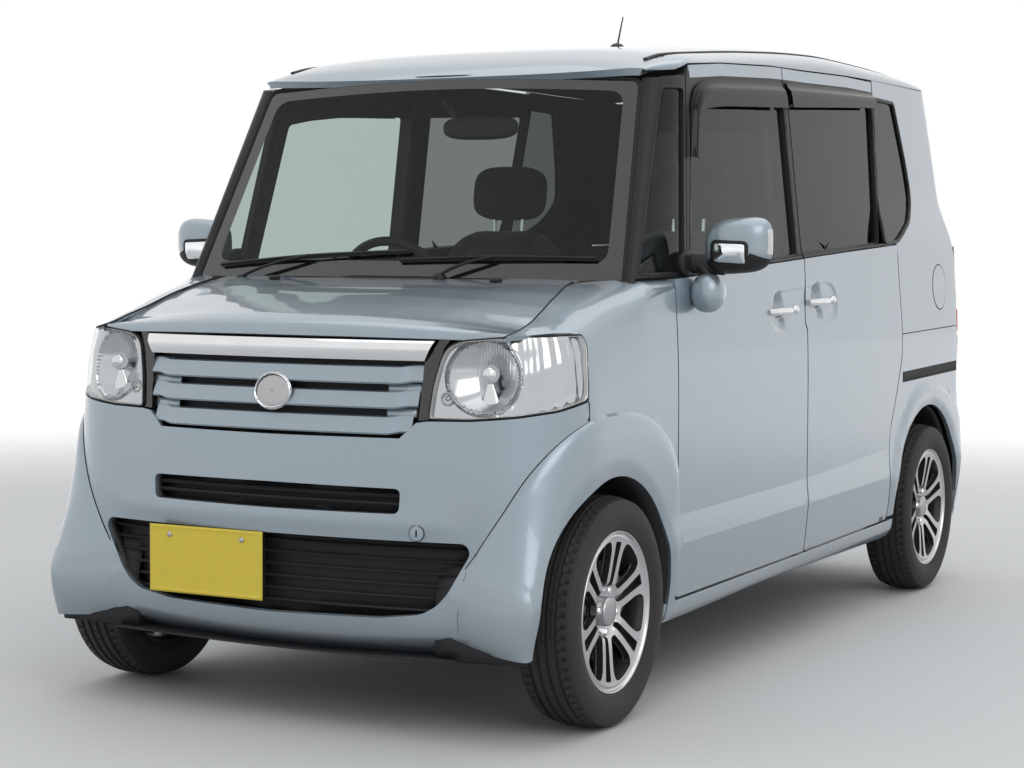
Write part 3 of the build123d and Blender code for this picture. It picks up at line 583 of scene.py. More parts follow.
# ------------------------------------------------------------------ the body's outer surface
FRONT, REAR, WIDE = -1697.5, 1697.5, 737.0
ARC_F, ARC_R, FIL_F, FIL_R = 2500.0, 6000.0, 250.0, 130.0     # plan radii: nose, tail and the corners between
CF = (WIDE - FIL_F, FRONT + ARC_F - math.sqrt((ARC_F - FIL_F) ** 2 - (WIDE - FIL_F) ** 2))
CR = (WIDE - FIL_R, REAR - ARC_R + math.sqrt((ARC_R - FIL_R) ** 2 - (WIDE - FIL_R) ** 2))
TURN_F, TURN_R = math.asin(CF[0] / (ARC_F - FIL_F)), math.asin(CR[0] / (ARC_R - FIL_R))
S_SIDE, S_BACK = CF[1], CR[1]                                  # along the side, s is y
S_NOSE = S_SIDE - FIL_F * (math.pi / 2 - TURN_F)
S_FRONT = S_NOSE - ARC_F * TURN_F                              # s at the middle of the nose
S_TAIL = S_BACK + FIL_R * (math.pi / 2 - TURN_R)
S_REAR = S_TAIL + ARC_R * TURN_R                               # s at the middle of the tail


def plan(s):
    """Point and outward normal of the plan outline at arc length s: nose arc, corner arc, straight side, and
    back."""
    sign = np.where((s < S_FRONT) | (s > S_REAR), -1.0, 1.0)
    s = np.where(s < S_FRONT, 2 * S_FRONT - s, np.where(s > S_REAR, 2 * S_REAR - s, s))
    a = np.select([s < S_NOSE, s < S_SIDE, s < S_BACK, s < S_TAIL],
                  [(s - S_FRONT) / ARC_F, TURN_F + (s - S_NOSE) / FIL_F, math.pi / 2 + 0 * s,
                   math.pi / 2 + (s - S_BACK) / FIL_R], math.pi - (S_REAR - s) / ARC_R)
    nx, ny = np.sin(a), -np.cos(a)
    x = np.select([s < S_NOSE, s < S_SIDE, s < S_BACK, s < S_TAIL],
                  [ARC_F * nx, CF[0] + FIL_F * nx, WIDE + 0 * s, CR[0] + FIL_R * nx], ARC_R * nx)
    y = np.select([s < S_NOSE, s < S_SIDE, s < S_BACK, s < S_TAIL],
                  [FRONT + ARC_F + ARC_F * ny, CF[1] + FIL_F * ny, s, CR[1] + FIL_R * ny],
                  REAR - ARC_R + ARC_R * ny)
    return x * sign, y, nx * sign, ny


LOW = linear([(150, 622), (178, 640), (200, 690), (217, 712), (269, 715), (400, 728), (480, 722), (600, 722)])
HIGH = smooth([(600, 722), (740, 721.5), (869, 719), (1000, 712), (1118, 705), (1300, 700)])
SHOULDER = smooth([(600, 722), (740, 721), (800, 719), (850, 716), (900, 708), (930, 699), (946, 690),
                   (960, 680)])
CREASE_1 = linear([(-894, 473), (25, 484), (669, 508), (900, 512)])
CREASE_2 = linear([(-894, 400), (669, 419), (900, 420)])
NOSE_IN = smooth([(170, 130), (200, 84), (222, 40), (245, 12), (300, 0), (470, 0), (560, 1), (709, 15.5),
                  (929, 47.5), (950, 56), (990, 80)])
TAIL_IN = smooth([(190, 110), (215, 70), (245, 20), (320, 1), (600, 1), (628, 5), (645, 22), (652, 46),
                  (660, 47.5), (1000, 52.5), (1190, 85.5), (1300, 97.5)])
BELT = linear([(-1200, 1064), (-802, 1077), (39, 1120), (780, 1157), (1560, 1190)])
FLARE_F = smooth_path([(-922, 190), (-922, 400), (-923, 560), (-936, 614), (-980, 672), (-1068, 724),
                       (-1188, 752), (-1328, 758), (-1436, 746), (-1532, 704), (-1612, 632), (-1680, 534),
                       (-1742, 444), (-1776, 390), (-1790, 300), (-1786, 190)], 5)
FLARE_R = [(800, 200), (800, 300), (826, 420), (868, 520), (935, 600), (1010, 655), (1100, 690), (1200, 702),
           (1330, 690), (1450, 655), (1560, 600), (1640, 520), (1680, 420), (1690, 200)]
ARCH_F = (-1300.0, 272.0, 335.0)
ARCH_R = (1200.0, 276.0, 352.0)


def bulge(s, z):
    """How far the flares stand out: rises over 30 mm inside each flare's outline and rolls in at the wheel
    arch."""
    out = np.zeros(np.broadcast(s, z).shape)
    p = np.stack([np.ravel(s + 0 * z), np.ravel(z + 0 * s)], 1)
    for line, (cy, cz, r), height, soft in ((FLARE_F, ARCH_F, 13.0, 8.0), (FLARE_R, ARCH_R, 12.0, 14.0)):
        d = distance(p, line) * np.where(inside(p, line), 1, 0)
        rim = np.hypot(p[:, 0] - cy, p[:, 1] - cz) - r
        h = height * (1 - np.exp(-np.maximum(d, 0) / soft)) * step(p[:, 1], 150, 330) ** 0.5
        out += (h - (7 * (1 - step(rim, 0, 24))) * (d > 0)).reshape(out.shape)
    return out


def side_half(y, z):
    """Half-width of the lower body: a section with two crease lines that climb to the rear, and the nose's
    shoulder."""
    c1, c2 = CREASE_1(y), CREASE_2(y)
    q = np.select([z < 269, z < c2, z < c1, z < 700],
                  [z, 269 + (z - 269) * 131 / (c2 - 269), 400 + (z - c2) * 80 / (c1 - c2),
                   480 + (z - c1) * 220 / (700 - c1)], z)
    flat = np.where(q < 600, LOW(q), HIGH(q))
    nose = 1 - step(y, -1415, -1080)
    return np.where(z > 600, flat * (1 - nose) + SHOULDER(z) * nose, flat)


def wrap(s, z, out=0.0):
    """The lower body at arc length s of its plan and height z: the plan moved in by the section at the sides
    and by the nose's or tail's profile at the ends, plus the flares; out moves it along the plan's normal.
    Within the front flare the corner is squared: the surface goes over to the side's plane, where s is y."""
    s, z = np.broadcast_arrays(np.asarray(s, float), np.asarray(z, float))
    x, y, nx, ny = plan(s)
    t = np.where(s < S_FRONT, 2 * S_FRONT - s, s)
    g = WIDE - side_half(np.where(t < S_SIDE, -1500, np.minimum(t, 1500)), z) - bulge(t, z) - out
    e = np.where(ny < 0, NOSE_IN(z), TAIL_IN(z)) - bulge(t, z) * (np.abs(nx) > 0.05) - out
    x, y = x - nx * g, y - ny * e
    near = (t < S_SIDE) & (z < 760)
    if near.any():
        p = np.stack([t[near], z[near]], 1)
        m = step(distance(p, FLARE_F[20:], False) * inside(p, FLARE_F), 0, 150)
        k, tuck = step(-p[:, 0], 1400, 1620), 22 * (1 - step(p[:, 1], 190, 330))
        own = (g + out)[near]
        side_x = (WIDE - own * (1 - k) - (44 + tuck) * k + (out + 0 * g)[near]) * np.sign(x[near])
        x, y = x.copy(), y.copy()
        x[near] += m * (side_x - x[near])
        y[near] += m * (t[near] - y[near])
    return x, y, z


def side(y, z):
    """wrap, for the side where s is y."""
    return wrap(y, z)


UP_ROWS = [(-1250, 694, 636, 1560, 1615), (-640, 694, 630, 1618, 1688), (-60, 694, 626, 1658, 1735),
           (600, 694, 624, 1682, 1779), (1250, 690, 621, 1684, 1762), (1560, 686, 617, 1676, 1740)]
UP_FOOT, UP_RAIL, RAIL_Z, CROWN = (smooth([(r[0], r[k]) for r in UP_ROWS]) for k in (1, 2, 3, 4))
ROOF_LINE = smooth([(-862, 1597), (-845, 1614), (-820, 1630), (-790, 1643), (-740, 1660), (-660, 1681),
                    (-400, 1710), (-61, 1741), (282, 1766), (600, 1778), (1000, 1773), (1300, 1759),
                    (1420, 1748), (1480, 1735), (1510, 1714), (1524, 1690)])
TAIL_LINE = smooth([(1190, 1612), (1300, 1600), (1560, 1550), (1640, 1533), (1700, 1518), (1750, 1490)])
UP_FIL = 96.0
WS_SIDE = linear([(1040, -1085.5), (1084, -1063),
                  (1700, -747.8)])   # y at which the windshield meets the side
T_END = -UP_FIL + UP_FIL * math.pi / 2 - 24.0
S_GATE = S_REAR - 6000.0 * math.asin(566.0 / 6000.0)


def upper_half(y, z):
    """Half-width of the cabin above the belt: straight from the belt to the cant rail, then a superellipse to
    the crown, and an arc in plan at each rear corner."""
    foot, rail, rz, crown = UP_FOOT(y), UP_RAIL(y), RAIL_Z(y), np.maximum(CROWN(y), RAIL_Z(y) + 20)
    straight = foot + (rail - foot) * (np.minimum(z, rz) - 1040) / (rz - 1040)
    k = np.clip((z - rz) / (crown - rz), 0, 1)
    x = straight * (1 - k ** 2.6) ** (1 / 2.6)
    reach = np.interp(z, [1086, 1566], [244, 111])
    x = x - 26 * np.clip(1 - (y - WS_SIDE(z)) / reach, 0, 1) ** 2
    past = np.clip(y - (TAIL_LINE(z) - 22 - UP_FIL), 0, UP_FIL)
    return x - UP_FIL + np.sqrt(np.maximum(UP_FIL ** 2 - past ** 2, 0))


def quarter(v, z, out=0.0):
    """The rear quarter: the lower body's surface goes over to the cabin's between z = 1110 and 1330; v is y,
    and arc length round the rear corner."""
    k = step(z, 1110, 1330)
    reach = (TAIL_LINE(np.maximum(z, 1190)) + T_END - 1450) / (S_GATE - 1450)
    low = wrap(v, np.minimum(z, 1330), out)
    up = upper_round(np.where(v > 1450, 1450 + (v - 1450) * reach, v), np.maximum(z, 1100), out)
    return low[0] + (up[0] - low[0]) * k, low[1] + (up[1] - low[1]) * k, z + 0 * v


def upper(y, z, out=0.0):
    return upper_half(y, z) + out, y + 0 * z, z + 0 * y


def upper_round(t, z, out=0.0):
    """upper, with arc length t in place of y round the rear corner, so the grid stays even there."""
    start = TAIL_LINE(z) - 22 - UP_FIL
    a = np.clip((t - start) / UP_FIL, 0, math.pi / 2)
    y = np.where(t > start, start + UP_FIL * np.sin(a), t)
    x = upper_half(np.minimum(y, start), z) - UP_FIL * (1 - np.cos(a)) * (t > start)
    return x + out * np.cos(a), y + out * np.sin(a), z + 0 * t


def tail_face(x, z, out=0.0):
    """The tail as seen from behind: the plan's tail arc moved in by the height's profile."""
    arc = 6000.0 - np.sqrt(6000.0 ** 2 - x * x)
    y = np.where(z < 1190, REAR - TAIL_IN(z), TAIL_LINE(z))
    return x + 0 * z, y - arc + out, z + 0 * x


def glass_plane(y, z, inset=8.0):
    return upper(y, z, -inset)


WS_LEAN = math.radians(27.1)


def windshield(x, up, out=0.0):
    """The windshield: an upright cylinder leaned back 27 degrees, 71 mm deep at x = 800; up is along the
    glass."""
    sag = 71 * (x / 800) ** 2 - out
    return (x + 0 * up, -1125 + up * math.sin(WS_LEAN) + sag * math.cos(WS_LEAN),
            1069 + up * math.cos(WS_LEAN) - sag * math.sin(WS_LEAN))


HOOD_HALF = smooth([(-1600, 587), (-1491, 582), (-1400, 571), (-1290, 556), (-1132, 532), (-1060, 515)])
HOOD_LINE = [(-1640, 938), (-1637, 950), (-1628, 964), (-1612, 975), (-1585, 986), (-1540, 998),
             (-1480, 1013), (-1400, 1031), (-1300, 1047), (-1200, 1060), (-1125, 1068)]
HOOD_DROP = smooth([(-1640, 6), (-1600, 30), (-1540, 40), (-1400, 30), (-1290, 17), (-1132, 5), (-1060, 3)])


def hood_z(x, y0):
    """Height of the hood at x and at the line that starts at y0 in the middle."""
    line = smooth(HOOD_LINE)
    return line(y0) - HOOD_DROP(y0) * (np.abs(x) / 575) ** 2.4


def hood_sweep(y0):
    """How much of the nose's plan arc the hood's line at y0 follows."""
    return np.interp(y0, [-1640, -1125], [1.0, 0.5])


FENDER_BASE = smooth([(-1640, 760), (-1415, 800), (-1200, 925), (-1075, 1010), (-922, 1040)])
TOP_X = smooth([(-1640, 580), (-1491, 583), (-1400, 572), (-1290, 557), (-1140, 534), (-1100, 560),
                (-1060, 636), (-900, 640)])
TOP_Z = smooth([(-1640, 930), (-1600, 943), (-1544, 953), (-1450, 978), (-1400, 993), (-1290, 1029),
                (-1140, 1063), (-1060, 1069), (-900, 1074)])
SPAN = 240.0


def fender(y, w):
    """Fender: below its base line w is the height on the side surface; above it, a cubic Bezier section turns
    over the shoulder to the hood's edge in SPAN of w."""
    base = FENDER_BASE(y)
    over = np.clip((w - base) / SPAN, 0, 1)
    a = np.clip((CF[1] - y), 0, FIL_F - 24)
    corner = np.where(y < CF[1], CF[0] + np.sqrt(np.maximum((FIL_F - 16) ** 2 - a * a, 0)) - WIDE + 16, 0)
    xs = side_half(np.maximum(y, -1500), np.minimum(w, base)) + corner + bulge(y, np.minimum(w, base))
    x0, z0 = TOP_X(y), TOP_Z(y)
    cz = z0 - np.interp(y, [-1600, -1415, -1100, -900], [4, 14, 4, 2])
    t = over
    h1x, h1z, h2x, h2z = x0 + 0.66 * (xs - x0), z0 + 0.66 * (cz - z0), xs, base + 0.66 * (cz - base)
    b = [(1 - t) ** 3, 3 * t * (1 - t) ** 2, 3 * t * t * (1 - t), t ** 3]
    x = b[0] * xs + b[1] * h2x + b[2] * h1x + b[3] * x0
    z = b[0] * base + b[1] * h2z + b[2] * h1z + b[3] * z0
    return np.where(w > base, x, xs), y + 0 * w, np.where(w > base, z, w)


def fender_w(y, z):
    """The fender's parameter w at which it has height z."""
    w = np.linspace(600, 1400, 401)
    return float(np.interp(z, fender(np.full(401, float(y)), w)[2], w))


# ------------------------------------------------------------------ outlines, in (s or y, z)
DOOR_FRONT = [(-916.5, 262), (-450, 267), (28.5, 271), (28.5, 1119), (-400, 1098), (-802, 1076),
              (-916.5, 1071)]
DOOR_REAR = [(34, 272), (795, 283), (800, 360), (790, 480), (803, 573), (868, 691), (918, 800), (924, 880),
             (905, 1100), (903, 1162), (780, 1156), (400, 1138), (34, 1120)]
SASH_F = [(-799, 1078), (-400, 1099), (28.5, 1120), (28.5, 1666), (-64, 1663), (-439, 1644), (-650, 1626),
          (-686, 1590)]
SASH_R = [(34, 1121), (400, 1139), (788, 1158), (851, 1631), (846, 1680), (600, 1680), (205, 1669),
          (34, 1666)]
WINDOW_F = [(-770, 1096), (20, 1132), (18, 1556), (-300, 1546), (-560, 1518), (-668, 1500)]
WINDOW_R = [(70, 1136), (778, 1170), (834, 1600), (600, 1592), (70, 1560)]
WINDOW_A = [(-1046, 1086), (-819, 1088), (-712, 1562), (-806, 1558)]
WINDOW_Q = [(796, 1168), (929, 1172), (1101, 1239), (1178, 1315), (1150, 1430), (1074, 1628), (862, 1631)]
LENS = [(-1866, 752), (-1859, 830), (-1838, 912), (-1800, 932), (-1668, 942), (-1424, 945), (-1420, 925),
        (-1440, 796), (-1540, 775), (-1650, 762), (-1764, 753)]
RECESS = [(-224, 1030), (-60, 1040), (232, 1058), (302, 1030), (302, 950), (250, 930), (-189, 903),
          (-271, 940)]

HANDLE_GRID = 6.0


def arch_line(arch, start, end, count=40):
    """Points of a wheel arch between two angles from straight back, in degrees, going over the top."""
    cy, cz, r = arch
    a = np.radians(np.linspace(start, end, count))
    return np.stack([cy + r * np.cos(a), cz + r * np.sin(a)], 1)


def arch_angle(arch, height, front):
    """Angle at which the arch reaches a height, on its front or rear side."""
    a = math.degrees(math.asin((height - arch[1]) / arch[2]))
    return 180 - a if front else a


def mirror_s(outline, middle=S_FRONT):
    """An outline that starts and ends on the middle, carried over it, so the two halves close into one."""
    q = np.asarray(outline, float)
    m = q[::-1].copy()
    m[:, 0] = 2 * middle - m[:, 0]
    return np.concatenate([q, m[np.abs(m[:, 0] - middle) > 0.5]])


def nose_s(x):
    """Arc length of the plan at half-width x on the nose."""
    return S_FRONT + ARC_F * math.asin(x / ARC_F)


def two(name, patch, body, *args, **kw):
    """The left patch and its mirror image as one piece."""
    return piece(name, together(patch, mirrored(patch)), body, *args, **kw)


FIN = {}


class Build:
    """What the operators share: they may be undone, and they show in one panel."""
    bl_options = {"REGISTER", "UNDO"}

    def execute(self, context):
        if not FIN:
            FIN.update(make_finishes(context.scene.kei_looks))
        self.make(context.scene.kei_looks, context.scene.kei_sizes)
        return {"FINISHED"}


class KEI_OT_front_doors(Build, bpy.types.Operator):
    """Front doors: a painted skin on the side surface with the handle's cup, and a black sash round the
    window"""
    bl_idname = "kei.front_doors"
    bl_label = "Front Doors"

    def make(self, looks, sizes):
        gap = sizes.shut_line / MM / 2
        skin = shrunk(rounded(DOOR_FRONT, (26, 0.1, 14, 2, 0.1, 0.1, 2)), gap - 2)
        left = trimmed(skin, dimpled(side), sizes.grid / MM, creases=crease_lines(-905, 22),
                       dense=[(-300, 22, 895, 1060, HANDLE_GRID)])
        frame_hole = rounded(WINDOW_F, 16)
        sash = trimmed(rounded(shrunk(SASH_F, 0.5), (2, 2, 2, 6, 6, 30, 26, 10)), upper,
                       sizes.grid / MM * 1.4, [frame_hole])
        for name, flip in (("left", False), ("right", True)):
            turn = mirrored if flip else (lambda q: q)
            body = "door_" + name
            piece("door_skin_" + name, turn(left), body, FIN["paint"], "body_paint", wall=46,
                  inner=FIN["cabin"], rim=FIN["paint"], bevel=0.9, sharp=60, line=on_crease,
                  replaces=["door_front_" + name])
            piece("door_sash_" + name, turn(sash), body, FIN["black"], "black_plastic", wall=34,
                  inner=FIN["cabin"], bevel=1.0, sharp=50)
            piece("window_seal_" + name, turn(side_strip(WINDOW_F, 16, 9, -2, 1.2)), body, FIN["black"],
                  "black_plastic", wall=12)
            piece("door_belt_" + name, turn(belt_strip(-790, 26)), body, FIN["black"], "black_plastic")
            for part, patch, mat in handle(-276, -27, 975):
                piece("door_%s_%s" % (part, name), turn(patch), body, FIN[mat], "chrome", bevel=0.0)
            for part, patch, mat in door_card():
                piece("door_%s_%s" % (part, name), turn(patch), body, FIN[mat], "cabin_plastic")


def crease_lines(y0, y1):
    ys = np.linspace(y0, y1, 12)
    return [np.stack([ys, CREASE_1(ys)], 1), np.stack([ys, CREASE_2(ys)], 1)]


def dimpled(surface):
    """The surface with the handles' shared shallow recess and the two finger cups pressed into it."""
    def place(y, z):
        x, yy, zz = surface(y, z)
        p = np.stack([y, z], 1)
        area = rounded(RECESS, 40)
        d = np.where(inside(p, area), distance(p, area), 0)
        x = x - 5.0 * step(d, 0, 16)
        for cy, cz, ry, rz, deep in ((-190, 990, 46, 42, 17), (-165, 938, 30, 20, 9), (130, 1012, 46, 42, 17),
                                     (152, 957, 30, 20, 9)):
            r = np.hypot((y - cy) / ry, (z - cz) / rz)
            x = x - deep * (1 - step(r, 0.35, 1.0))
        return x, yy, zz
    return place


def side_strip(outline, radius, outward, inward, proud, surface=upper):
    """A strip round a window on the cabin's side, from outward of the window's outline to inward of it."""
    q = rounded(outline, radius)
    return trimmed(shrunk(q, -outward), lambda y, z: surface(y, z, proud), 26, [shrunk(q, inward)])


def on_crease(p):
    """Which points lie on the two creases of the doors, which are hard edges."""
    return (np.abs(p[:, 2] - CREASE_1(p[:, 1])) < 0.3) | (np.abs(p[:, 2] - CREASE_2(p[:, 1])) < 0.3)


def belt_strip(y0, y1):
    """The rubber weather strip along the belt: a half-round bar that follows the belt line on the skin."""
    ys = np.linspace(y0, y1, 40)
    z = BELT(ys) + 4
    x = 0.5 * (side_half(ys, z - 10) + upper_half(ys, z)) - 2
    return facing(swept(np.stack([x, ys, z], 1), 9.5, 8, 0.62), (0, (y0 + y1) / 2, 1100))


def handle(y0, y1, z):
    """Pull handle: a bowed bar between two feet, and the plated rear cap."""
    t = np.linspace(0, 1, 26)
    y = y0 + 4 + (y1 - y0 - 72) * t
    zz = z + 4 * t - 4
    x = side_half(y, zz) - 6 + 20 * np.sin(np.pi * np.clip(t, 0.02, 0.98)) ** 0.5
    bar = facing(swept(np.stack([x, y, zz], 1), 11 - 2.5 * np.abs(2 * t - 1) ** 4, 14, 1.0, (1, 0, 0)),
                 (500, y.mean(), z))
    cap = facing(grid(16, 24, lambda a, b: (side_half(y1 - 16 + 0 * a, z + 0 * a) - 5 + 9 * np.cos(a) + 0 * b,
                                            y1 - 16 + 19 * np.sin(a) * np.cos(b),
                                            z + 13 * np.sin(a) * np.sin(b)),
                      (0, np.pi / 2), (0, 2 * np.pi), close_v=True), (500, y1, z))
    return [("handle", bar, "chrome"), ("handle_cap", cap, "chrome")]


def door_card():
    """Inner trim: an armrest that swells from the door and a pocket with a rolled lip."""
    def rest(a, b):
        y = -640 + 520 * a
        r = np.sin(np.pi * np.clip(a, 0.01, 0.99)) ** 0.35
        return 672 - 52 - 46 * r * np.cos(b), y, 850 + 34 * r * np.sin(b) + 40 * a
    def pocket(a, b):
        y = -760 + 560 * a
        r = np.sin(np.pi * np.clip(a, 0.01, 0.99)) ** 0.3
        return 668 - 42 - 38 * r * (1 - b ** 4) ** 0.5, y, 395 + 130 * b
    return [("armrest", facing(grid(30, 16, rest, (0, 1), (-np.pi / 2, np.pi / 2)), (700, -380, 850)),
             "cabin"),
            ("pocket", facing(grid(30, 14, pocket, (0, 1), (-0.98, 0.98)), (700, -380, 400)), "cabin")]


class KEI_OT_rear_doors(Build, bpy.types.Operator):
    """Sliding rear doors, which are fixed here: painted skins with the rear half of the handle recess, and
    sashes"""
    bl_idname = "kei.rear_doors"
    bl_label = "Rear Doors"

    def make(self, looks, sizes):
        skin = shrunk(rounded(DOOR_REAR, (0.1, 30, 8, 30, 30, 30, 20, 16, 10, 6, 0.1, 0.1, 0.1)),
                      sizes.shut_line / MM / 2 - 2)
        left = trimmed(skin, dimpled(side), sizes.grid / MM, creases=crease_lines(40, 775),
                       dense=[(40, 330, 895, 1080, HANDLE_GRID)])
        hole = rounded(WINDOW_R, 16)
        sash = trimmed(rounded(shrunk(SASH_R, 0.5), (2, 2, 2, 10, 10, 6, 6, 6)), upper, sizes.grid / MM * 1.4,
                       [hole])
        two("rear_door_skins", left, "body", FIN["paint"], "body_paint", wall=46, inner=FIN["cabin"],
            rim=FIN["paint"],
            bevel=0.9, sharp=60, line=on_crease, replaces=["rear_doors"])
        two("rear_door_sashes", sash, "body", FIN["black"], "black_plastic", wall=34, inner=FIN["cabin"],
            bevel=1.0, sharp=50)
        two("rear_window_seals", side_strip(WINDOW_R, 16, 9, -2, 1.2), "body", FIN["black"], "black_plastic",
            wall=12)
        two("rear_door_belts", belt_strip(36, 786), "body", FIN["black"], "black_plastic")
        for part, patch, mat in handle(49, 293, 996):
            two("rear_door_" + part, patch, "body", FIN[mat], "chrome")


def rail_strip(points):
    """The painted rail over a door: a 32 mm strip under the top of the sash."""
    top = np.array(points, float)
    return trimmed(np.concatenate([top, top[::-1] - (0, 33)]), lambda y, z: upper(y, z, 1.2), 20)


class KEI_OT_side_frames(Build, bpy.types.Operator):
    """Quarter panels with the rear flare, rockers, and the pillars round the doors"""
    bl_idname = "kei.side_frames"
    bl_label = "Side Frames"

    def make(self, looks, sizes):
        size = sizes.grid / MM
        rear = arch_line(ARCH_R, arch_angle(ARCH_R, 286, False), arch_angle(ARCH_R, 300, True), 56)
        edge = [(800, 290), (806, 360), (796, 482), (808, 570), (873, 688), (923, 797), (929.5, 880),
                (911, 1100), (909, 1168)]
        low = np.array(rear.tolist() + edge
                       + [(1300, 1181), (1560, 1190), (S_GATE, 1190), (S_GATE, 1163), (1551, 1163),
                                               (1551, 757), (S_GATE, 757), (S_GATE, 656), (1558, 656),
                                               (1561, 420)])
        rise = [np.array(FLARE_R[4:10], float) + (0, dz) for dz in (0, -8, -20)]
        panel = trimmed(low, quarter, size, creases=rise)
        ring = [(800, 1163), (909, 1170), (1300, 1184), (1560, 1192), (S_GATE, 1192), (S_GATE, 1684),
                (1300, 1688), (858, 1688), (857, 1640)]
        upper_q = trimmed(ring, quarter, size, [rounded(WINDOW_Q, (14, 30, 40, 40, 40, 18, 14))])
        two("quarter_panels", together(panel, upper_q), "body", FIN["paint"],
            "body_paint", wall=16, inner=FIN["dark_paint"], bevel=1.0, sharp=60, merge=6.0,
            replaces=["side_frames"])
        top = linear([(-926, 255), (34, 265), (798, 276.5), (862, 278)])

        def rocker(a, b):
            y = -980 + 1842 * a
            low = 196 + 16 * step(y, -980, 0)
            z = low + (top(y) - low) * b
            return side_half(y, np.maximum(z, 216)) - 30 * (1 - b) ** 3, y, z
        two("rockers", facing(grid(70, 14, rocker), (300, 0, 260)), "body", FIN["paint"], "body_paint",
            wall=24, bevel=2.0, sharp=40)
        pillar = [(WS_SIDE(1072) + 3, 1072), (-802, 1079), (-692, 1590), (-700, 1599),
                  (WS_SIDE(1588) + 3, 1588)]
        front = grid(50, 8, pillar_front)
        two("front_pillars", together(trimmed(pillar, upper, 22, [rounded(WINDOW_A, 16)]),
                                      facing(front, (400, -600, 1300))),
            "body", FIN["black"], "black_plastic", wall=18, inner=FIN["cabin"], bevel=1.0, sharp=50)
        two("centre_pillars", trimmed([(-20, 300), (86, 300), (80, 1640), (-12, 1640)], pillar_inside, 40),
            "body",
            FIN["cabin"], "cabin_plastic", wall=24)
        two("quarter_window_bands", side_strip(WINDOW_Q, (14, 30, 40, 40, 40, 18, 14), 5, 5, 0.8, quarter),
            "body", FIN["black"],
            "black_plastic", wall=12)
        two("small_window_seals", side_strip(WINDOW_A, 16, 6, -1, 1.0), "body", FIN["black"], "black_plastic",
            wall=10)
        fuel_door()
        front_rail = rail_strip([(-664, 1626), (-439, 1646), (-64, 1665), (28, 1668)])
        for name, turn in (("left", lambda q: q), ("right", mirrored)):
            piece("door_rail_" + name, turn(front_rail), "door_" + name, FIN["paint"], "body_paint", wall=3,
                  bevel=0.8)
        two("rear_door_rails", rail_strip([(35, 1668), (205, 1671), (600, 1682), (846, 1682)]), "body",
            FIN["paint"],
            "body_paint", wall=3, bevel=0.8)


def pillar_inside(y, z):
    """The centre pillar's cabin face, 50 to 66 mm inside the skin."""
    x = np.where(z > 1104, upper_half(y, z) - 50,
                 side_half(y, np.minimum(z, 1104)) - 66 - step(z, 1000, 1104) * 5)
    return x, y, z


def pillar_front(a, b):
    """From the windshield's edge to the side's front edge, a little crowned between: a up the pillar, b
    across."""
    x0, y0, z0 = windshield(640 - 72 * a, 12 + 584 * a, 0.5)
    z1 = z0 + 2
    x1, y1, z1 = upper(WS_SIDE(z1) + 3, z1)
    swell = 5 * np.sin(np.pi * b)
    return x0 + (x1 - x0) * b + swell * 0.6, y0 + (y1 - y0) * b - swell, z0 + (z1 - z0) * b


def fuel_door():
    """A round flap on the left quarter: a disc that follows the skin, ringed by a black band laid on the skin
    as painted shade of its gap.
    """
    def disc(r0, r1, out):
        return grid(10, 48, lambda a, b: lift(1352 + (r0 + (r1 - r0) * a) * np.cos(b),
                                              1020 + (r0 + (r1 - r0) * a) * np.sin(b), out),
                    (0, 1), (0, 2 * np.pi), close_v=True)
    flap = facing(disc(1, 74, 1.2), (0, 1352, 1020))
    piece("fuel_flap", flap, "body", FIN["paint"], "body_paint", wall=2.4, bevel=0.8)
    # painted shade: a black ring on the skin round the flap stands in for the shade in its gap
    piece("fuel_flap_gap_shade", facing(disc(73, 77.5, 0.5), (0, 1352, 1020)), "body", FIN["rubber"], "black_plastic")


def lift(y, z, out):
    """A point of the side, moved straight outward."""
    x, yy, zz = wrap(y, z)
    return x + out, yy, zz


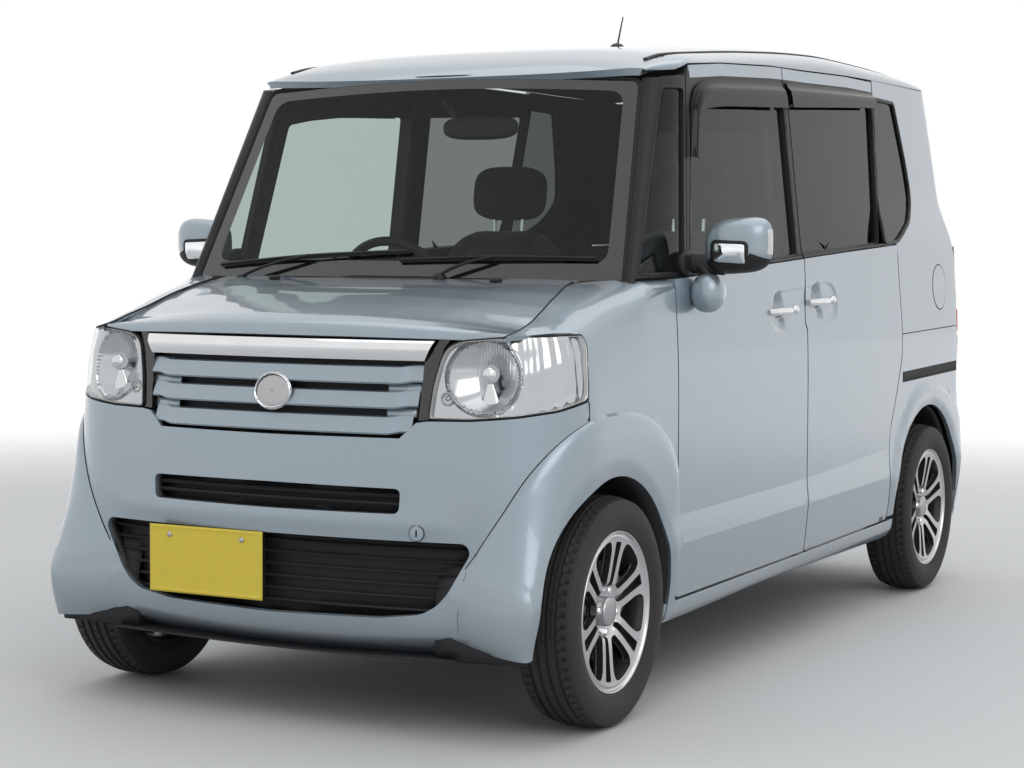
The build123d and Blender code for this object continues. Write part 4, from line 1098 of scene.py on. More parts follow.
class KEI_OT_front_fenders(Build, bpy.types.Operator):
    """Front fenders: the side surface turned over the shoulder to the hood's edge, with the flare round the
    wheel"""
    bl_idname = "kei.front_fenders"
    bl_label = "Front Fenders"

    def make(self, looks, sizes):
        size = sizes.grid / MM
        over = arch_line(ARCH_F, arch_angle(ARCH_F, 205, False), arch_angle(ARCH_F, 215, True), 56)
        seam = FLARE_F[40:74][::-1].copy()
        seam[:, 0] += np.where(seam[:, 1] < 404, -8.0, 1.4)
        seam = seam[seam[:, 1] > 208]
        ridge = [beside(FLARE_F[10:stop], d)[::2] for stop, d in ((38, 0), (62, -6), (60, -16))]
        flare = trimmed([(-922, 262), (-925, 208)] + over.tolist() + [(-1650, 212)] + seam.tolist()
                        + [(-1434, 790), (-922, 790)],
                        wrap, size * 0.7, creases=ridge)
        crest = [(y, float(FENDER_BASE(y)) + SPAN) for y in (-1592, -1560, -1500, -1400, -1300, -1200, -1142)]
        lamp = [(-1592, fender_w(-1592, 943)), (-1500, fender_w(-1500, 949)), (-1421, fender_w(-1421, 949)),
                (-1416, fender_w(-1416, 925)), (-1434, fender_w(-1434, 794))]
        back = [(-922, fender_w(-922, 1070)), (-1060, fender_w(-1060, 1068)), (-1142, fender_w(-1142, 1062))]
        sheet = trimmed([(-1434, 790), (-922, 790)] + back[:1] + [(-1060, 1248), (-1142, 1198)]
                        + crest[-2::-1] + lamp,
                        fender, size)
        two("front_fender_skins", together(flare, sheet), "body", FIN["paint"], "body_paint", wall=10,
            inner=FIN["dark_paint"],
            merge=4.0, bevel=1.4, sharp=24, replaces=["front_fenders"])
        def liner(a, b):
            t = np.radians(arch_angle(ARCH_F, 200, False)
                           + (arch_angle(ARCH_F, 200, True) - arch_angle(ARCH_F, 200, False)) * a)
            x0, y0, z0 = wrap(ARCH_F[0] + (ARCH_F[2] + 4) * np.cos(t),
                              ARCH_F[1] + (ARCH_F[2] + 4) * np.sin(t), -9)
            strut = 187 * np.exp(-((y0 + 1274) / 110) ** 4)
            return x0 + (425 + strut - x0) * b, y0, z0
        two("front_wheel_liners", facing(grid(44, 8, liner), (560, -1300, 1200)), "body", FIN["grain_black"],
            "black_plastic", wall=3)
        def rear_liner(a, b):
            t = np.radians(arch_angle(ARCH_R, 300, False) + (180 - 2 * arch_angle(ARCH_R, 300, False)) * a)
            return (700 - 140 * b, ARCH_R[0] + (ARCH_R[2] - 3) * np.cos(t),
                    ARCH_R[1] + (ARCH_R[2] - 3) * np.sin(t))
        two("rear_wheel_liners", facing(grid(44, 8, rear_liner), (560, 1200, 1200)), "body",
            FIN["grain_black"],
            "black_plastic", wall=3)


class KEI_OT_hood(Build, bpy.types.Operator):
    """Hood: crosswise crowned lines along the car's middle profile, with a turned-down nose"""
    bl_idname = "kei.hood"
    bl_label = "Hood"

    def make(self, looks, sizes):
        line = np.array(HOOD_LINE, float)
        dense = divided(line, 10, False)
        length = np.concatenate([[0], np.cumsum(np.linalg.norm(np.diff(dense, axis=0), axis=1))])

        def place(a, b):
            t = b * length[-1]
            y0 = np.interp(t, length, dense[:, 0])
            z0 = np.interp(t, length, dense[:, 1])
            half = HOOD_HALF(y0 + 60 * (1 - b)) - 5.0
            x = a * half
            drop = HOOD_DROP(y0)
            lift_ = 5.0 * step(np.abs(a), 0.55,
                               0.72) * step(b, 0.1, 0.4) * (1 - step(np.abs(a), 0.8, 1.0) * 0.3)
            return x, y0 + hood_sweep(y0) * x * x / 5000, z0 - drop * np.abs(x / 575) ** 2.4 + lift_ * 0.6
        skin = facing(grid(97, 61, place, (-1, 1)), (0, -1350, 500))
        piece("hood_skin", skin, "hood", FIN["paint"], "body_paint", wall=14, inner=FIN["dark_paint"],
              rim=FIN["paint"],
              bevel=2.2, sharp=30, replaces=["hood"])
        ys = np.linspace(-1604, -1140, 50)
        two("hood_side_seals", swept(np.stack([TOP_X(ys) - 2.6, ys, TOP_Z(ys) - 0.4], 1), 2.4, 8), "body",
            FIN["rubber"],
            "black_plastic")


class KEI_OT_roof(Build, bpy.types.Operator):
    """Roof: superellipse sections along the crown line, with the two ditch mouldings and the brow over the
    glass"""
    bl_idname = "kei.roof"
    bl_label = "Roof"

    def make(self, looks, sizes):
        edge = linear([(-880, 1585), (-698, 1600), (-655, 1632), (-439, 1650), (-64, 1669), (205, 1675),
                       (600, 1686), (851, 1689), (1530, 1691)])

        def place(a, b):
            front = -860 + 34 * np.abs(a) ** 2
            back = 1488 - 4 * np.abs(a) ** 2
            y = front + (back - front) * b
            rail, rz, crown = UP_RAIL(y), RAIL_Z(y), np.maximum(ROOF_LINE(y), 1590)
            rz = np.where(y < -640, np.minimum(rz, crown - 14 - 40 * step(y, -860, -640)), rz)
            end = np.clip((edge(y) - rz) / np.maximum(crown - rz, 12), 0.0, 0.9)
            stop = np.arccos(end ** 1.3)
            th = a * stop
            k = np.abs(np.sin(th)) ** (2 / 2.6)
            x = np.sign(a) * k * rail
            z = rz + (crown - rz) * np.abs(np.cos(th)) ** (2 / 2.6)
            past = np.clip(y - (1512 - UP_FIL), 0, UP_FIL)
            x = x * (1 - 0.088 * (1 - step(y, -850, -560)) * np.abs(a))
            x = x * (1 - (UP_FIL - np.sqrt(UP_FIL ** 2 - past ** 2)) / 620 * step(np.abs(a), 0.3, 1))
            groove = np.exp(-((np.abs(x) - 545) / 7) ** 2) * step(y, -760, -700)
            return x, y, z - 5 * groove
        skin = facing(grid(131, 74, place, (-1, 1)), (0, 300, 1200))
        piece("roof_skin", skin, "body", FIN["paint"], "body_paint", wall=20, inner=FIN["cabin_light"],
              bevel=1.5,
              sharp=30, replaces=["roof_panel"])
        ys = np.linspace(-752, 1460, 90)
        rail, rz, crown = UP_RAIL(ys), RAIL_Z(ys), ROOF_LINE(ys)
        xs = np.full(90, 545.0)
        z = rz + (crown - rz) * (1 - (xs / rail) ** 2.6) ** (1 / 2.6) - 1
        two("roof_mouldings", swept(np.stack([xs, ys, z], 1), 6, 8, 0.6), "body", FIN["black"],
            "black_plastic")
        tip = np.linspace(0, 1, 24)
        mast = np.stack([0 * tip, 262 + 40 * tip, 1776 + 92 * tip], 1)
        piece("antenna_mast", together(swept(mast, 3.0 - 1.0 * tip, 10),
              facing(grid(12, 24, lambda a, b: (22 * np.sin(a) * np.cos(b), 262 + 34 * np.sin(a) * np.sin(b),
                                                1764 + 20 * np.cos(a)),
                          (0, np.pi / 2), (0, 2 * np.pi), close_v=True), (0, 262, 1700))),
              "body", FIN["black"], "black_plastic", replaces=["antenna"])


class KEI_OT_bumpers(Build, bpy.types.Operator):
    """Front and rear bumper skins on the wrapped surface, with the slot, the intake, the towing cover and
    lips"""
    bl_idname = "kei.bumpers"
    bl_label = "Bumpers"

    def make(self, looks, sizes):
        size = sizes.grid / MM
        seam = FLARE_F[40:74][::-1].copy()
        seam[:, 0] += np.where(seam[:, 1] < 404, 8.0, -1.4)
        seam = seam[seam[:, 1] > 200]
        half = [(S_FRONT, 190), (-1900, 190), *seam.tolist(), (-1446, 750), (-1438, 758), (-1441, 791),
                (-1540, 771), (-1650, 758), (-1764, 749), (-1870, 747), (-1896, 743), (-1936, 706),
                (S_FRONT, 704)]
        slot = [(S_FRONT, 530), (nose_s(348), 532), (nose_s(351), 590), (S_FRONT, 592)]
        mouth = [(S_FRONT, 280), (-1976, 287), (-1872, 301), (-1835, 322), (-1808, 352), (-1786, 392),
                 (-1752, 448), (-1764, 470), (S_FRONT, 470)]
        slot, mouth = rounded(mirror_s(slot), 16), rounded(mirror_s(mouth), 14)

        def skin(s, z):
            lip = 6 * np.exp(-((z - 512) / 20) ** 2) * step(np.abs(s - S_FRONT), 520, 400)
            return wrap(s, z, lip)
        piece("front_bumper_skin", trimmed(mirror_s(half), skin, size, [slot, mouth]), "body", FIN["paint"],
              "body_paint",
              wall=12, inner=FIN["dark_paint"], rim=FIN["paint"], bevel=3.6, sharp=50,
              replaces=["front_bumper"], segments=3)
        for name, line, deep in (("slot", slot, 40), ("intake", mouth, 46)):
            q = np.concatenate([line, line[:1]])
            rows = [wrap(q[:, 0], q[:, 1], out) for out in (-10, -deep)]
            wall = np.stack([np.stack(r, 1) for r in rows]).reshape(-1, 3)
            n = len(q)
            faces = [(i, i + 1, n + i + 1, n + i) for i in range(n - 1)]
            piece(name + "_surround", (wall, faces), "body", FIN["black"], "black_plastic", wall=4,
                  replaces=["lower_grille"] if name == "slot" else ())
            back = trimmed(shrunk(line, -6), lambda s, z, d=deep: wrap(s, z, -d), 40)
            piece(name + "_backing", back, "body", FIN["grain_black"], "black_plastic", wall=3)
        bars = [bar(nose_s(346), z, 9, 20) for z in (552, 572)]
        bars += [bar(w, z, 7, 30) for z, w in ((306, -1850), (335, -1806), (364, -1772), (393, -1748),
                                               (422, -1748), (450, -1752))]
        piece("intake_bars", together(*bars), "body", FIN["grain_black"], "black_plastic", bevel=0.0)
        lip = np.linspace(-1794, 2 * S_FRONT + 1794, 120)
        piece("front_lip", swept(np.stack(wrap(lip, np.full(120, 183.0), -4), 1), 11, 10, 0.8), "body",
              FIN["black"],
              "black_plastic")
        towing_cover()
        rear = [(S_REAR, 194), (1660, 198), (1572, 204), (1556, 232), (1562, 300), (1566, 420), (1562, 651),
                (S_REAR, 651)]
        rear = rounded(mirror_s(rear, S_REAR), 3, 3)
        piece("rear_bumper_skin", trimmed(rear, wrap, size), "body", FIN["paint"], "body_paint", wall=14,
              inner=FIN["dark_paint"], rim=FIN["paint"], bevel=2.2, sharp=26, replaces=["rear_bumper"])
        valance = mirror_s([(S_REAR, 214), (1800, 220), (1762, 262), (1800, 300), (S_REAR, 306)], S_REAR)
        piece("rear_valance", trimmed(rounded(valance, 14), lambda s, z: wrap(s, z, 1.5), 30), "body",
              FIN["grain_black"],
              "black_plastic", wall=5, bevel=1.0)
        ledge = grid(90, 6, lambda a, b: wrap(1580 + (2 * S_REAR - 3160) * a, 651 + 3 * b, -12 - 40 * b))
        piece("rear_bumper_ledge", facing(ledge, (0, 1500, 400)), "body", FIN["black"], "black_plastic",
              wall=2)
        shine = trimmed(rounded([(1800, 322), (1800, 356), (1700, 356), (1700, 322)], 8),
                        lambda s, z: wrap(s, z, 3.0), 20)
        two("rear_reflectors", shine, "body", FIN["red_lens"], "red_lens", wall=4, bevel=0.8)


def bar(s_end, z, thick, deep):
    """A grille bar across the nose: a flat-fronted section carried along the wrapped surface."""
    section = [(-deep - 26, thick / 2), (-deep, thick / 2), (-deep + 4, 0), (-deep, -thick / 2),
               (-deep - 26, -thick / 2)]
    s = np.linspace(s_end, 2 * S_FRONT - s_end, 70)
    rows = [np.stack(wrap(s, z + dz, out), 1) for out, dz in section]
    n = len(s)
    faces = strip_faces(len(rows), n)
    return facing((np.concatenate(rows), faces), (0, -1500, z))


def towing_cover():
    """A round snap-in cover in the bumper, left of the middle: a disc, with a black ring at its edge and a
    black mark on it as painted shade of the gap round it and of its coin slot.
    """
    def ring(r0, r1, out0, out1):
        return facing(grid(6, 40, lambda a, b: wrap(-1882 + 0.62 * (r0 + (r1 - r0) * a) * np.cos(b),
                                                    490 + 0.62 * (r0 + (r1 - r0) * a) * np.sin(b),
                                                    out0 + (out1 - out0) * a), (0, 1), (0, 2 * np.pi),
                                                    close_v=True), (300, -1000, 480))
    piece("towing_cover", together(ring(0.5, 27, 7, 6.5), ring(27, 29, 6.5, 2)), "body", FIN["paint"],
          "body_paint")
    # painted shade: a black ring just outside the cover's edge stands in for the shade in the gap round it
    piece("towing_cover_painted_gap_shade", ring(28.6, 31, 4.6, 4.8), "body", FIN["rubber"], "black_plastic")
    # painted shade: a flat black mark on the cover stands in for the shade inside its coin slot
    mark = grid(8, 3, lambda a, b: wrap(-1884 + 4 * b, 482 + 16 * a, 7.2))
    piece("towing_cover_painted_slot_shade", facing(mark, (300, -1000, 480)), "body", FIN["rubber"], "black_plastic")


class KEI_OT_grille(Build, bpy.types.Operator):
    """Grille: three painted slats that turn back at their ends, the plated bar above, and a plain round
    badge"""
    bl_idname = "kei.grille"
    bl_label = "Grille"

    def make(self, looks, sizes):
        for i, (z0, z1, end) in enumerate(((712, 756, 368), (772, 814, 381), (829, 872, 389))):
            section = [(-46, z1 - 2), (-14, z1), (-6, z1 - 3), (-3, z1 - 12), (3, z0 + 9), (4, z0 + 5),
                       (0, z0 + 1), (-12, z0), (-46, z0 + 4)]
            x = np.concatenate([np.linspace(-end, -end + 70, 16)[:-1], np.linspace(-end + 70, end - 70, 50),
                                np.linspace(end - 70, end, 16)[1:]])
            s = nose_s_all(x)
            turn = step(np.abs(x), end - 64, end - 18)
            rows = [np.stack(wrap(s, z + 5 * turn, out - 9 * turn), 1) for out, z in section]
            n = len(s)
            faces = strip_faces(len(rows), n)
            piece("grille_slat_%d" % (i + 1),
                  facing((np.concatenate(rows), faces), (0, -1500, (z0 + z1) / 2)), "body",
                  FIN["paint"], "body_paint", sharp=30, replaces=["front_grille"] if i == 0 else ())
        back = mirror_s([(S_FRONT, 704), (-1944, 706), (-1893, 752), (-1886, 934), (S_FRONT, 936)])
        piece("grille_backing", trimmed(back, lambda s, z: wrap(s, z, -38), 40), "body", FIN["grain_black"],
              "black_plastic", wall=4)
        floor = [trimmed([(nose_s(300), z0), (nose_s(e + 2), z0), (nose_s(e + 2), z1), (nose_s(300), z1)],
                         lambda s, z: wrap(s, z, -16), 14)
                 for z0, z1, e in ((754, 775, 374), (812, 832, 385))]
        two("grille_fillers", together(*floor), "body", FIN["paint"], "body_paint", wall=5)
        bar_ = [(-40, 929), (-2, 931), (3, 926), (7, 915), (8, 911), (2, 889), (0, 885), (-40, 884)]
        x = np.linspace(-1, 1, 90)
        rows = []
        for out, z in bar_:
            xs = x * (391 + (413 - 391) * (z - 884) / 46)
            rows.append(np.stack(wrap(nose_s_all(xs), np.full(90, float(z)), out), 1))
        n = 90
        faces = strip_faces(len(rows), n)
        piece("grille_top_bar", facing((np.concatenate(rows), faces), (0, -1500, 907)), "body", FIN["chrome"],
              "chrome",
              sharp=20, replaces=["grille_bar"])
        fill = [(-1893, 748), (-1868, 750), (-1862, 830), (-1841, 913), (-1826, 934), (-1850, 936),
                (-1886, 884)]
        two("grille_side_strips", trimmed(fill, lambda s, z: wrap(s, z, -7), 12), "body", FIN["gloss_black"],
            "black_plastic",
            wall=20, bevel=1.0)
        rim = grid(5, 60, lambda a, b: badge(1.0 + 0.15 * a, b, 4 + 6 * np.sin(np.pi * a)), (0, 1),
                   (0, 2 * np.pi), close_v=True)
        dome = grid(10, 60, lambda a, b: badge(0.02 + 1.0 * a, b, 5 + 4 * (1 - a * a)), (0, 1),
                    (0, 2 * np.pi), close_v=True)
        piece("badge_rim", facing(rim, (0, -1500, 800)), "body", FIN["chrome"], "chrome", wall=6)
        piece("badge_disc", facing(dome, (0, -1500, 800)), "body", FIN["satin"], "chrome", wall=6)


def nose_s_all(x):
    """Arc length on the nose for each half-width; negative x lies past the middle."""
    return S_FRONT + ARC_F * np.arcsin(np.asarray(x, float) / ARC_F)


def badge(r, t, out):
    """A point of the round badge: r from the middle to the edge, t round it, out from the nose."""
    x, z = 46 * r * np.cos(t), 806 + 38 * r * np.sin(t)
    return wrap(nose_s_all(x), z, out)


BOWL = (-1736.0, 850.0, 91.0, 83.0)


def lamp_depth(s, z):
    """How far the reflector lies behind the lens: a paraboloid in the round bowl, and stepped facets outside
    it."""
    cs, cz, rs, rz = BOWL
    r = np.hypot((s - cs) / rs, (z - cz) / rz)
    flute = 1.1 * np.sin((s - cs) / 9.0 * np.pi) ** 2 * step(z, 846, 862)
    bowl = 16 + 46 * (1 - np.minimum(r, 1) ** 2) + flute
    facet = 14 + 1.5 * np.sin(s / 6.0) + 0.8 * np.sin((z - 0.3 * s) / 12.0)
    shelf = 7 + 9 * step(r, 1.0, 1.14)
    outer = np.where(s > cs, np.where(r > 1.12, facet, shelf), np.where(r > 1.12, 14, shelf))
    return np.where(r < 1, bowl, outer)


class KEI_OT_lamps(Build, bpy.types.Operator):
    """Headlamps with a fluted round reflector behind a clear lens, tail lamps, and the small lamps"""
    bl_idname = "kei.lamps"
    bl_label = "Lamps"

    def make(self, looks, sizes):
        size = sizes.grid / MM
        line = rounded(LENS, (10, 30, 30, 26, 8, 6, 10, 14, 10, 10, 14))
        lens = trimmed(line, wrap, size)
        two("headlamp_lens", lens, "body", FIN["lens"], "lamp_lens", bevel=0.0, replaces=["headlamp_lenses"])
        cs, cz, rs, rz = BOWL
        t = np.linspace(0, 2 * np.pi, 56)
        ring = np.stack([cs + rs * np.cos(t), cz + rz * np.sin(t)], 1)
        bowl = trimmed(shrunk(line, 2), lambda s, z: wrap(s, z, -lamp_depth(s, z)), 3.0,
                       creases=[q[inside(q, shrunk(line, 6))] for q in (ring[:28], ring[27:])])
        two("headlamp_reflector", bowl, "body", FIN["reflector"], "lamp_bowl", sharp=60,
            replaces=["headlamp_housings"])
        q = np.concatenate([shrunk(line, 1.0), shrunk(line, 1.0)[:1]])
        rows = np.concatenate([np.stack(wrap(q[:, 0], q[:, 1], d), 1) for d in (-1.0, -26)])
        n = len(q)
        wall = (rows, [(i, i + 1, n + i + 1, n + i) for i in range(n - 1)])
        two("headlamp_surround", wall, "body", FIN["satin"], "lamp_bowl", wall=2)
        seal = np.concatenate([line, line[:1]])
        two("headlamp_seal", swept(np.stack(wrap(seal[:, 0], seal[:, 1], -3.5), 1), 3.2, 6, 1.0,
                                   (0, -0.7, 0.7), ends=False),
            "body", FIN["rubber"], "black_plastic")
        two("bulb_shield", ball_at(-1732, 856, -34, 23), "body", FIN["chrome"], "lamp_bowl")
        stem = [wrap(-1732.0, 856.0 - 26 * k, -36.0 - 3 * k) for k in (0.6, 1.0, 2.0, 2.7)]
        two("bulb_stem", swept(np.array([[float(v) for v in p] for p in stem]), [7, 9, 20, 27], 12, 0.3,
                               (0, 1, 0)), "body",
            FIN["chrome"], "lamp_bowl")
        two("side_light", together(ball_at(-1826, 799, -20, 9), ring_at(-1826, 799, -12, 14, 3)), "body",
            FIN["satin"], "lamp_bowl")
        tail = [(1554, 761), (1700, 759), (S_GATE - 4, 759), (S_GATE - 4, 1159), (1700, 1161), (1554, 1159),
                (1560, 960)]
        two("tail_lamp_lens", trimmed(rounded(tail, (14, 3, 8, 8, 3, 14, 30)),
                                      lambda s, z: wrap(s, z,
                                                        5 * step(distance(np.stack([s, z], 1), tail), 0, 30)),
                                      size), "body", FIN["red_lens"], "red_lens", wall=20, bevel=1.5,
                                      replaces=["tail_lamps"])
        low = [(1600, 775), (S_GATE - 22, 773), (S_GATE - 22, 850), (1590, 850)]
        two("reversing_lamp", trimmed(rounded(low, 10), lambda s, z: wrap(s, z, 6.2), 16), "body",
            FIN["clear_ribbed"], "lamp_lens", wall=3)
        mid = [(1594, 860), (S_GATE - 22, 860), (S_GATE - 22, 940), (1588, 940)]
        two("rear_indicator", trimmed(rounded(mid, 10), lambda s, z: wrap(s, z, 6.2), 16), "body",
            FIN["amber"], "red_lens", wall=3)


def ball_at(s, z, out, r):
    """A ball of radius r whose middle lies out from the lower body at (s, z)."""
    x, y, zz = (float(v) for v in wrap(float(s), float(z), out))
    return facing(grid(14, 24, lambda a, b: (x + r * np.sin(a) * np.cos(b), y - r * np.cos(a),
                                             zz + r * np.sin(a) * np.sin(b)),
                       (0.02, np.pi - 0.02), (0, 2 * np.pi), close_v=True), (x, y, zz))


def ring_at(s, z, out, r, thick):
    """An upright ring of round section round the point that lies out from the lower body at (s, z)."""
    t = np.linspace(0, 2 * np.pi, 33)
    x, y, zz = (float(v) for v in wrap(float(s), float(z), out))
    return swept(np.stack([x + r * np.cos(t), np.full(33, y), zz + r * np.sin(t)], 1), thick, 8, 1.0,
                 (0, 1, 0.01), ends=False)


class KEI_OT_tailgate(Build, bpy.types.Operator):
    """Tailgate: the tail's face with a window, a handle garnish over the plate, wiper and top lamp"""
    bl_idname = "kei.tailgate"
    bl_label = "Tailgate"

    def make(self, looks, sizes):
        size = sizes.grid / MM
        edge = [(z, gate_half(z)) for z in (662, 757, 900, 1100, 1190, 1300, 1450, 1600, 1684, 1728)]
        ring = [(x, z) for z, x in edge] + [(-x, z) for z, x in edge[::-1]]
        window = [(-500, 1190), (500, 1190), (476, 1585), (455, 1604), (-455, 1604), (-476, 1585)]
        hole = rounded(window, 42, 7)
        plate = rounded([(-190, 742), (190, 742), (190, 938), (-190, 938)], 20)

        def skin(x, z):
            p = np.stack([x, z], 1)
            pressed = 10 * step(np.where(inside(p, plate), distance(p, plate), 0), 0, 14)
            return tail_face(x, z, -pressed)
        gate = facing(trimmed(ring, skin, size, [hole]), (0, 0, 1200))
        piece("tailgate_skin", gate, "tailgate", FIN["paint"], "body_paint", wall=40, inner=FIN["cabin"],
              rim=FIN["paint"],
              bevel=2.2, sharp=22, replaces=["tailgate"])
        pane = facing(trimmed(shrunk(hole, -14), lambda x, z: tail_face(x, z, -5), 60), (0, 0, 1200))
        piece("tailgate_pane", pane, "tailgate", FIN["privacy"], "dark_glass", wall=4,
              replaces=["tailgate_glass"])
        band = facing(trimmed(shrunk(hole, -2), lambda x, z: tail_face(x, z, -3.2), 30, [shrunk(hole, 34)]),
                      (0, 0, 1200))
        piece("tailgate_glass_band", band, "tailgate", FIN["frit"], "black_plastic", wall=1)
        arc = np.linspace(-1, 1, 60)
        grip = np.stack(tail_face(230 * arc, 966 + 0 * arc, 6 + 8 * (1 - arc ** 6)), 1)
        piece("tailgate_garnish", swept(grip, 17, 14, 0.9), "tailgate", FIN["chrome"], "chrome")
        lamps = together(*(box_patch(x - 34, x + 34,
                                     *(float(tail_face(np.float64(x), np.float64(938.0))[1]) + d
                                       for d in (-4, 12)), 930, 942)
                           for x in (-110, 110)))
        piece("plate_lamps", lamps, "tailgate", FIN["black"], "black_plastic", bevel=1.5)
        top = np.stack(tail_face(120 * arc, 1628 + 0 * arc, 2), 1)
        piece("high_stop_lamp", swept(top, 9, 10, 0.7), "tailgate", FIN["red_lens"], "red_lens")
        y0 = float(tail_face(np.float64(0.0), np.float64(1150.0))[1])
        arm = np.array([(0, y0 + 8, 1150), (0, y0 + 22, 1152), (-30, y0 + 22, 1160),
                        (-200, float(tail_face(np.float64(-200.0), np.float64(1205.0))[1]) + 16, 1212)])
        blade = np.array([(x, float(tail_face(np.float64(x), np.float64(z))[1]) + 9, z) for x,
                          z in ((-40, 1206), (-200, 1216), (-360, 1226))])
        hub = np.array([(0, y0 - 4, 1150), (0, y0 + 14, 1150)])
        piece("rear_wiper_arm", together(swept(smooth_path(arm, 24), 7, 8, 0.6), swept(blade, 7, 8, 1.4),
                                         swept(hub, 19, 24, 1, (1, 0, 0))),
              "tailgate", FIN["black"], "black_plastic", replaces=["rear_wiper"])
        py = float(tail_face(np.float64(165.0), np.float64(842.0))[1])
        plate_piece("rear_number_plate", 0, py - 3, 842, 330, 165, 1, "tailgate", "rear_plate")


def gate_half(z):
    """Half-width of the tailgate at height z."""
    return float(np.where(z < 1190, 560.0,
                          upper_round(TAIL_LINE(np.float64(z)) + 33.0, np.float64(z))[0] - 4.0))


def plate_piece(name, x, y, z, width, height, sign, body, node):
    """A blank number plate: a pressed sheet with a raised rim and two screw heads; it faces sign * Y."""
    def sheet(a, b):
        u, v = np.abs(2 * a - 1), np.abs(2 * b - 1)
        d = np.minimum((1 - u) * width / 2, (1 - v) * height / 2)
        h = 1.6 * step(d, 0.5, 2.5) - 1.6 * step(d, 6, 9)
        return x + (a - 0.5) * width, y + sign * (1.5 + h), z + (b - 0.5) * height
    front = facing(grid(66, 34, sheet), (x, y - sign * 500, z))
    piece(name, front, body, FIN["plate"], "plate", wall=2.0, replaces=[node])
    screws = [facing(grid(8, 24, lambda a, b, s=s: (x + s * width * 0.32 + 7 * np.sin(a) * np.cos(b),
                                                    y + sign * (2 + 4 * np.cos(a)),
                                                    z + height * 0.36 + 7 * np.sin(a) * np.sin(b)),
                                                    (0, np.pi / 2), (0, 2 * np.pi), close_v=True),
                     (x, y - sign * 500, z)) for s in (-1, 1)]
    piece(name + "_screws", together(*screws), body, FIN["satin"], "plate")


class KEI_OT_front_plate(Build, bpy.types.Operator):
    """Blank front number plate on its carrier, on the right of the bumper"""
    bl_idname = "kei.front_plate"
    bl_label = "Front Plate"

    def make(self, looks, sizes):
        plate_piece("front_number_plate", -176, -1701.5, 388, 330, 165, -1, "body", "front_plate")
        piece("plate_carrier", box_patch(-331, -21, -1699, -1672, 312, 462), "body", FIN["black"],
              "black_plastic", bevel=2)


class KEI_OT_glass(Build, bpy.types.Operator):
    """Windshield with its black band, door panes, and the tinted panes behind"""
    bl_idname = "kei.glass"
    bl_label = "Glass"

    def make(self, looks, sizes):
        edge = [(-638, 14), (0, -2), (638, 14), (566, 594), (300, 597), (0, 598), (-300, 597), (-566, 594)]
        inner = [(-586, 62), (0, 46), (586, 62), (528, 556), (0, 562), (-528, 556)]
        outline = rounded(edge, (14, 60, 14, 30, 60, 60, 60, 30))
        pane = facing(trimmed(outline, lambda x, u: windshield(x, u, -1.5), 40), (0, -400, 1200))
        piece("windshield_glass", pane, "body", FIN["glass"], "glass", replaces=["windshield"])
        band = facing(trimmed(outline, lambda x, u: windshield(x, u, -0.9), 24,
                              [rounded(inner, (46, 200, 46, 40, 200, 40), 7)]), (0, -400, 1200))
        piece("windshield_band", band, "body", FIN["frit"], "black_plastic")
        q = np.concatenate([outline, outline[:1]])
        seal = swept(np.stack(windshield(q[:, 0], q[:, 1], -1.0), 1), 6.5, 8, 0.8, (0, -0.9, 0.4), ends=False)
        piece("windshield_seal", seal, "body", FIN["rubber"], "black_plastic")
        a, b = (lambda y, z: glass_plane(y, z, 10)), (lambda y, z: glass_plane(y, z, 7))
        front = trimmed(shrunk(rounded(WINDOW_F, 16), -14), a, 60)
        for name, turn in (("left", lambda q: q), ("right", mirrored)):
            piece("door_pane_" + name, turn(front), "door_" + name, FIN["glass"], "glass",
                  replaces=["door_glass_" + name])
        small = trimmed(shrunk(rounded(WINDOW_A, 16), -8), b, 40)
        two("small_front_panes", small, "body", FIN["glass"], "glass", replaces=["side_glass"])
        rear = trimmed(shrunk(rounded(WINDOW_R, 16), -14), a, 60)
        two("rear_door_panes", rear, "body", FIN["tinted"], "dark_glass")
        back = trimmed(shrunk(rounded(WINDOW_Q, (14, 30, 40, 40, 40, 18, 14)), -10),
                       lambda y, z: quarter(y, z, -7), 40)
        two("quarter_panes", back, "body", FIN["privacy"], "dark_glass")


def ellipsoid(centre, size, power=(2.0, 2.0), nu=28, nv=44, taper=0.0):
    """Superellipsoid: |x/a|^p + |y/b|^p + |z/c|^q = 1, narrowed upwards by taper."""
    def place(a, b):
        e, f = 2.0 / power[0], 2.0 / power[1]
        c, s = np.cos(a), np.sin(a)
        w = np.sign(c) * np.abs(c) ** f
        r = np.abs(s) ** f * (1 - taper * w)
        cb, sb = np.cos(b), np.sin(b)
        return (centre[0] + size[0] * r * np.sign(cb) * np.abs(cb) ** e,
                centre[1] + size[1] * r * np.sign(sb) * np.abs(sb) ** e,
                centre[2] + size[2] * w)
    return facing(grid(nu, nv, place, (0.004, np.pi - 0.004), (0, 2 * np.pi), close_v=True), centre)


